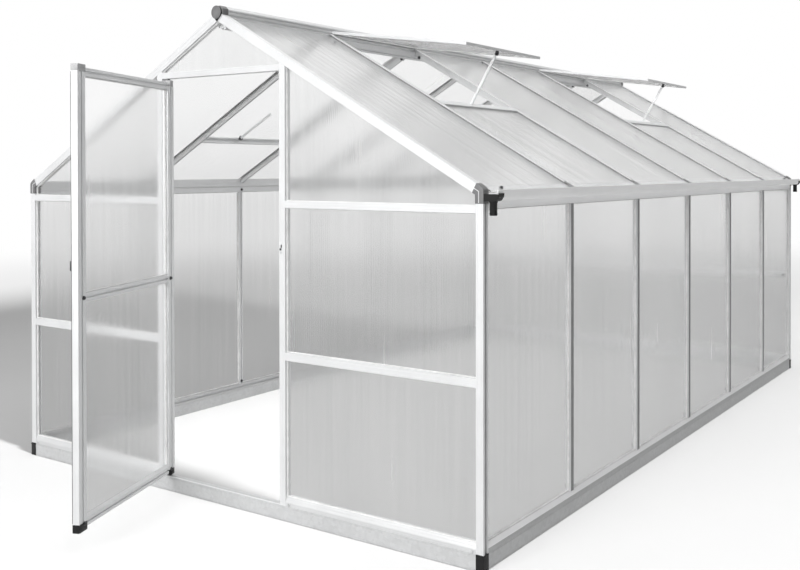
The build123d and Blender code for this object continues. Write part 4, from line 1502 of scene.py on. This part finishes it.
    def keeper(self):
        """Keeper on the jamb: a bright plate with a ring at each end, and two dark stops."""
        low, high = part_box("latch_keeper")
        plate, stop = Shape(), Shape()
        plate.block((low.x, high.y - self.keeper_plate, low.z + self.keeper_foot), high, self.keeper_edge)
        for level in (low.z + self.ring_low, high.z - self.ring_high):
            self.ring(plate, Vector(((low.x + high.x) / 2, high.y - self.ring_out, level)))
        plate.piece("latch_keeper_plate", aluminium(), FIXED, "aluminium_frame", ("latch_keeper",))
        for left, front, right, foot, top, edge in self.stops:
            stop.block((low.x + left, low.y + front, low.z + foot),
                       (high.x - right, high.y - self.stop_seat, low.z + top), edge)
        stop.piece("latch_keeper_stop", fitting_metal(), FIXED, "dark_metal", ("latch_keeper",))

    def ring(self, shape, centre, steps=20, sides=8):
        """Round ring that lies flat on the keeper."""
        rings = []
        for turn in (math.tau * step / steps for step in range(steps)):
            way = Vector((math.cos(turn), 0, math.sin(turn)))
            rings.append([centre + way * (self.ring_radius + self.ring_wide * math.cos(bend))
                          + FRONT * self.ring_deep * math.sin(bend)
                          for bend in (math.tau * side / sides for side in range(sides))])
        shape.sweep(rings, closed=True, smooth=True)

    def pins(self):
        """Chamfered pins that the door turns on."""
        low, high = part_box("door_pivot_pins")
        centre, radius = (low + high) / 2, (high.x - low.x) / 2
        shape = Shape()
        for solid in solids_of("door_pivot_pins"):
            reach = solid.high.z - solid.low.z
            rings = ((radius - self.pin_edge, 0.0), (radius, self.pin_edge), (radius, reach - self.pin_edge),
                     (radius - self.pin_edge, reach))
            shape.turned(rings, Vector((centre.x, centre.y, solid.low.z)), UP, sides=20)
        shape.piece("door_pins_turned", fitting_metal(), FIXED, "dark_metal", ("door_pivot_pins",))

    def rail_bolts(self, outward):
        """Dark bolts through the stiles at both ends of the lower and middle door rails, on both faces."""
        stile = solids_of("door_free_stile")[0]
        places = []
        for solid in sorted(solids_of("door_rails"), key=lambda rail: rail.centre.z)[:-1]:
            run = Run(solid, outward)
            for corners, way in ((run.first[1], -1), (run.last[1], 1)):
                end = sum(corners, Vector()) / len(corners)
                for face in (outward, -outward):
                    spot = end + run.axis * way * self.bolt_place
                    depth = max((point - stile.centre).dot(face) for point in stile.points)
                    spot += face * (depth - (spot - stile.centre).dot(face))
                    places.append((spot, face))
        bolt_piece("door_bolts", places, SWINGING)


class GREENHOUSE_OT_bolts(bpy.types.Operator):
    """Frame bolts at the ends of bars and rails"""
    bl_idname = "greenhouse.bolts"
    bl_label = "Frame bolts"
    # Wall bars: height of the bolts over the bars' tops and feet
    over_top, over_foot = 0.012, 0.014
    # Distance of the bolts from the ends of sills and rails, and their height on the sills
    sill_end, sill_height, rail_end = 0.016, 0.0075, 0.018
    # Roof corners: distance from the sheets' ends, from the eave, and height over the sheets' lower edge
    sheet_end, eave_end, sheet_height = 0.093, 0.018, 0.0045
    # Roof bars: distance from the ridge
    ridge_end = 0.03

    def execute(self, context):
        places, pale = self.wall_bars(), []
        for node, facing in (("front_sill_rails", FRONT), ("back_sill_rails", BACK)):
            pale += self.ends(node, facing, self.sill_end, lambda solid: solid.low.z + self.sill_height)
        bolt_piece("sill_bolts", pale, FIXED, dull_aluminium(), "aluminium_frame")
        for node, facing in (("front_rails", BACK), ("back_rails", FRONT), ("door_header", BACK)):
            places += self.ends(node, facing, self.rail_end, lambda solid: solid.centre.z)
        bolt_piece("frame_bolts", places + self.roof_corners() + self.roof_bars(), FIXED)
        return {"FINISHED"}

    def wall_bars(self):
        """Inside, on the eave beams over the wall bars and at the bars' feet."""
        places = []
        for label, side in (("left", -1), ("right", 1)):
            beam = side * abs(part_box("right_eave_beam")[0].x)
            for solid in solids_of(f"{label}_wall_bars"):
                bar = solid.low.x if side > 0 else solid.high.x
                for x, z in ((beam, solid.high.z + self.over_top), (bar, solid.low.z + self.over_foot)):
                    places.append((Vector((x, solid.centre.y, z)), RIGHT * -side))
        return places

    def ends(self, node, facing, inset, level):
        """At both ends of the rails of one CAD node, at a level that a function gives."""
        places = []
        for solid in solids_of(node):
            face = solid.low.y if facing.y < 0 else solid.high.y
            for x in (solid.low.x + inset, solid.high.x - inset):
                places.append((Vector((x, face, level(solid))), facing))
        return places

    def roof_corners(self):
        """On the outside of the roof sheets, near their lower corners."""
        slope = Vector((ROOF_RISE, 0, 1)).normalized()
        level = ROOF_LOW.z + self.eave_end * ROOF_RISE + self.sheet_height
        places = []
        for side in (-1, 1):
            for y in (ROOF_LOW.y + self.sheet_end, ROOF_HIGH.y - self.sheet_end):
                places.append((Vector((side * (ROOF_HIGH.x - self.eave_end), y, level)),
                               Vector((side * slope.x, 0, slope.z))))
        return places

    def roof_bars(self):
        """On both sides of the roof bars' bolt channels, near the ridge."""
        bulb = settings_of("profiles").bulb / 2
        places = []
        for solid in solids_of("left_roof_bars", "right_roof_bars"):
            run = Run(solid, UP)
            uphill = run.axis if run.axis.z > 0 else -run.axis
            end = max((run.first, run.last), key=lambda face: face[0].dot(uphill))
            inner = min(point[1] for point in run.outline) + bulb
            top = run.ring([(solid.centre.dot(run.across), inner)], end)[0] - uphill * self.ridge_end
            places += [(top + facing * bulb, facing) for facing in (FRONT, BACK)]
        return places


class GREENHOUSE_OT_stage(bpy.types.Operator):
    """Pale floor, lights, side card, white surround and the photograph's camera"""
    bl_idname = "greenhouse.stage"
    bl_label = "Studio"
    white = (1.0, 1.0, 1.0, 1.0)
    # Floor: half its size, its level under the base rails, and where it starts and ends turning plain white
    floor_half, floor_level, white_from, white_to = 80.0, -0.001, 5.0, 13.0
    # Low light: its direction and its angle in degrees
    shadow_way, shadow_angle = Vector((-1.0, 0.12, -0.3)), 5.0
    # Pieces that shade the floor from the low light
    shading = ("left_wall_panels_fluted", "left_roof_panels_fluted", "left_wall_bars_profile",
               "left_base_rail_folded", "left_sill_rail_profile", "left_eave_beam_profile",
               "left_roof_bars_profile", "vent_panes_fluted", "front_panels_fluted", "front_base_rail_folded",
               "front_rails_profile", "door_jambs_profile")
    # Side card: its distance on the right, and its ends along the greenhouse and in height
    flag_x, flag_ys, flag_zs = 6.0, (-1.5, 9.0), (0.5, 4.2)

    def execute(self, context):
        settings = settings_of("stage")
        context.scene.view_settings.view_transform = "Standard"
        floor = self.floor(settings)
        self.surround(settings)
        self.flag(settings)
        self.soft_box("front_soft_box", settings.front_power, place=(0.6, -7.6, 4.2), aim=(0.4, 0.4, 0.9),
                      size=(7.0, 4.5))
        self.soft_box("top_soft_box", settings.top_power, place=(0.6, 1.8, 7.5), aim=(0.3, 1.8, 0.0),
                      size=(8.0, 8.0))
        self.shadow(settings, floor)
        self.camera(settings)
        return {"FINISHED"}

    def camera(self, settings):
        """The photograph's camera on a full-frame sensor."""
        camera = bpy.data.cameras.new("photo_camera")
        camera.lens, camera.sensor_width, camera.sensor_fit = settings.lens, 36.0, "HORIZONTAL"
        camera.shift_x, camera.shift_y = settings.shift
        camera.clip_start, camera.clip_end = 0.05, 200.0
        holder = bpy.data.objects.new("photo_camera", camera)
        holder.location, holder.rotation_euler = settings.camera_place, settings.camera_turn
        bpy.context.scene.collection.objects.link(holder)
        bpy.context.scene.camera = holder

    def rays(self, tree):
        """1 for rays from the camera; 1 for rays from gloss and through the sheets."""
        path = tree.nodes.new("ShaderNodeLightPath").outputs
        through = value_math(tree, "MAXIMUM", path["Is Glossy Ray"], path["Is Transmission Ray"])
        return path["Is Camera Ray"], through

    def staged(self, name, corners, material):
        """A flat card of the stage."""
        mesh = bpy.data.meshes.new(name)
        mesh.from_pydata(corners, [], [(0, 1, 2, 3)])
        mesh.materials.append(material)
        holder = bpy.data.objects.new(name, mesh)
        bpy.context.scene.collection.objects.link(holder)
        return holder

    def floor(self, settings):
        """Pale floor that turns plain white far from the greenhouse."""
        made, tree, shader = finish("studio_floor")
        place = object_place(tree)
        away = add_node(tree, "ShaderNodeVectorMath", {0: place, 1: (0.0, MIDDLE_Y, 0.0)},
                        operation="DISTANCE").outputs["Value"]
        far = add_node(tree, "ShaderNodeMapRange",
                       {"Value": away, "From Min": self.white_from, "From Max": self.white_to},
                       interpolation_type="SMOOTHSTEP").outputs[0]
        cloud = ramp(tree, noise(tree, place, scale=0.8), "floor", shades=(0.99, 1.01))
        camera, through = self.rays(tree)
        near = value_math(tree, "MULTIPLY", value_math(tree, "SUBTRACT", 1.0, far),
                          map_range(tree, through, 1.0, settings.floor_share))
        faded = add_node(tree, "ShaderNodeVectorMath", {0: cloud, "Scale": near}, operation="SCALE")
        tree.links.new(faded.outputs["Vector"], shader.inputs["Base Color"])
        shader.inputs["Roughness"].default_value = 1.0
        shader.inputs["Specular IOR Level"].default_value = 0.0
        shader.inputs["Emission Color"].default_value = self.white
        glow = map_range(tree, far, settings.floor_glow, 1.0)
        dim = map_range(tree, far, settings.floor_seen, settings.far_seen)
        tree.links.new(blend(tree, (camera, glow), (through, dim)), shader.inputs["Emission Strength"])
        half, level = self.floor_half, self.floor_level
        return self.staged("studio_floor", [(-half, -half, level), (half, -half, level), (half, half, level),
                                            (-half, half, level)], made)

    def shadow(self, settings, floor):
        """Low light from the right that only reaches the floor, shaded by the left and front sides."""
        lamp = bpy.data.lights.new("shadow_light", "SUN")
        lamp.energy, lamp.angle = settings.shadow_light, math.radians(self.shadow_angle)
        holder = bpy.data.objects.new("shadow_light", lamp)
        holder.rotation_euler = self.shadow_way.to_track_quat("-Z", "Y").to_euler()
        bpy.context.scene.collection.objects.link(holder)
        shading = [bpy.data.objects[name] for name in self.shading]
        for role, members in (("receiver", [floor]), ("blocker", shading)):
            group = bpy.data.collections.new(role + "_group")
            for member in members:
                group.objects.link(member)
            setattr(holder.light_linking, role + "_collection", group)

    def flag(self, settings):
        """Dim card out of sight on the right, so that side faces don't reflect plain white."""
        made, _, shader = finish("side_flag")
        shader.inputs["Base Color"].default_value = (settings.flag, settings.flag, settings.flag, 1.0)
        shader.inputs["Roughness"].default_value = 1.0
        (front, back), (low, high) = self.flag_ys, self.flag_zs
        holder = self.staged("side_flag", [(self.flag_x, y, z) for y, z in (
            (front, low), (back, low), (back, high), (front, high))], made)
        holder.visible_camera = holder.visible_transmission = holder.visible_shadow = False

    def surround(self, settings):
        """White world for the camera and behind sheets, and a dimmer one as light."""
        world = bpy.data.worlds.new("white_surround")
        world.use_nodes = True
        tree = world.node_tree
        back = tree.nodes["Background"]
        back.inputs["Color"].default_value = self.white
        seen = value_math(tree, "MAXIMUM", *self.rays(tree))
        tree.links.new(map_range(tree, seen, settings.ambient, 1.0), back.inputs["Strength"])
        bpy.context.scene.world = world

    def soft_box(self, name, power, place, aim, size):
        """Area light aimed at a point, out of the camera's sight."""
        lamp = bpy.data.lights.new(name, "AREA")
        lamp.shape, lamp.size, lamp.size_y, lamp.energy = "RECTANGLE", size[0], size[1], power
        holder = bpy.data.objects.new(name, lamp)
        holder.location = place
        holder.rotation_euler = (Vector(aim) - Vector(place)).to_track_quat("-Z", "Y").to_euler()
        holder.visible_camera = False
        bpy.context.scene.collection.objects.link(holder)


class GREENHOUSE_PT_panel(bpy.types.Panel):
    """Buttons and settings of the greenhouse"""
    bl_idname = "GREENHOUSE_PT_panel"
    bl_label = "Greenhouse"
    bl_space_type = "VIEW_3D"
    bl_region_type = "UI"
    bl_category = "Greenhouse"

    def draw(self, context):
        for operator in OPERATORS:
            self.layout.operator(operator.bl_idname)
        for key, group in SETTINGS.items():
            box = self.layout.box()
            for name in group.__annotations__:
                box.prop(getattr(context.scene, key), name)


SETTINGS = {
    "greenhouse_profiles": GreenhouseProfiles,
    "greenhouse_sheets": GreenhouseSheets,
    "greenhouse_fittings": GreenhouseFittings,
    "greenhouse_finishes": GreenhouseFinishes,
    "greenhouse_stage": GreenhouseStage,
}
OPERATORS = (GREENHOUSE_OT_base, GREENHOUSE_OT_frame, GREENHOUSE_OT_caps, GREENHOUSE_OT_gutters,
             GREENHOUSE_OT_sheets, GREENHOUSE_OT_vents, GREENHOUSE_OT_door, GREENHOUSE_OT_bolts,
             GREENHOUSE_OT_stage)
CLASSES = (*SETTINGS.values(), *OPERATORS, GREENHOUSE_PT_panel)


def register():
    for entry in CLASSES:
        bpy.utils.register_class(entry)
    for key, group in SETTINGS.items():
        setattr(bpy.types.Scene, key, PointerProperty(type=group))


def unregister():
    for key in SETTINGS:
        delattr(bpy.types.Scene, key)
    for entry in reversed(CLASSES):
        bpy.utils.unregister_class(entry)


def main():
    register()
    for operator in OPERATORS:
        group, name = operator.bl_idname.split(".")
        getattr(getattr(bpy.ops, group), name)()


if __name__ == "__main__":
    main()
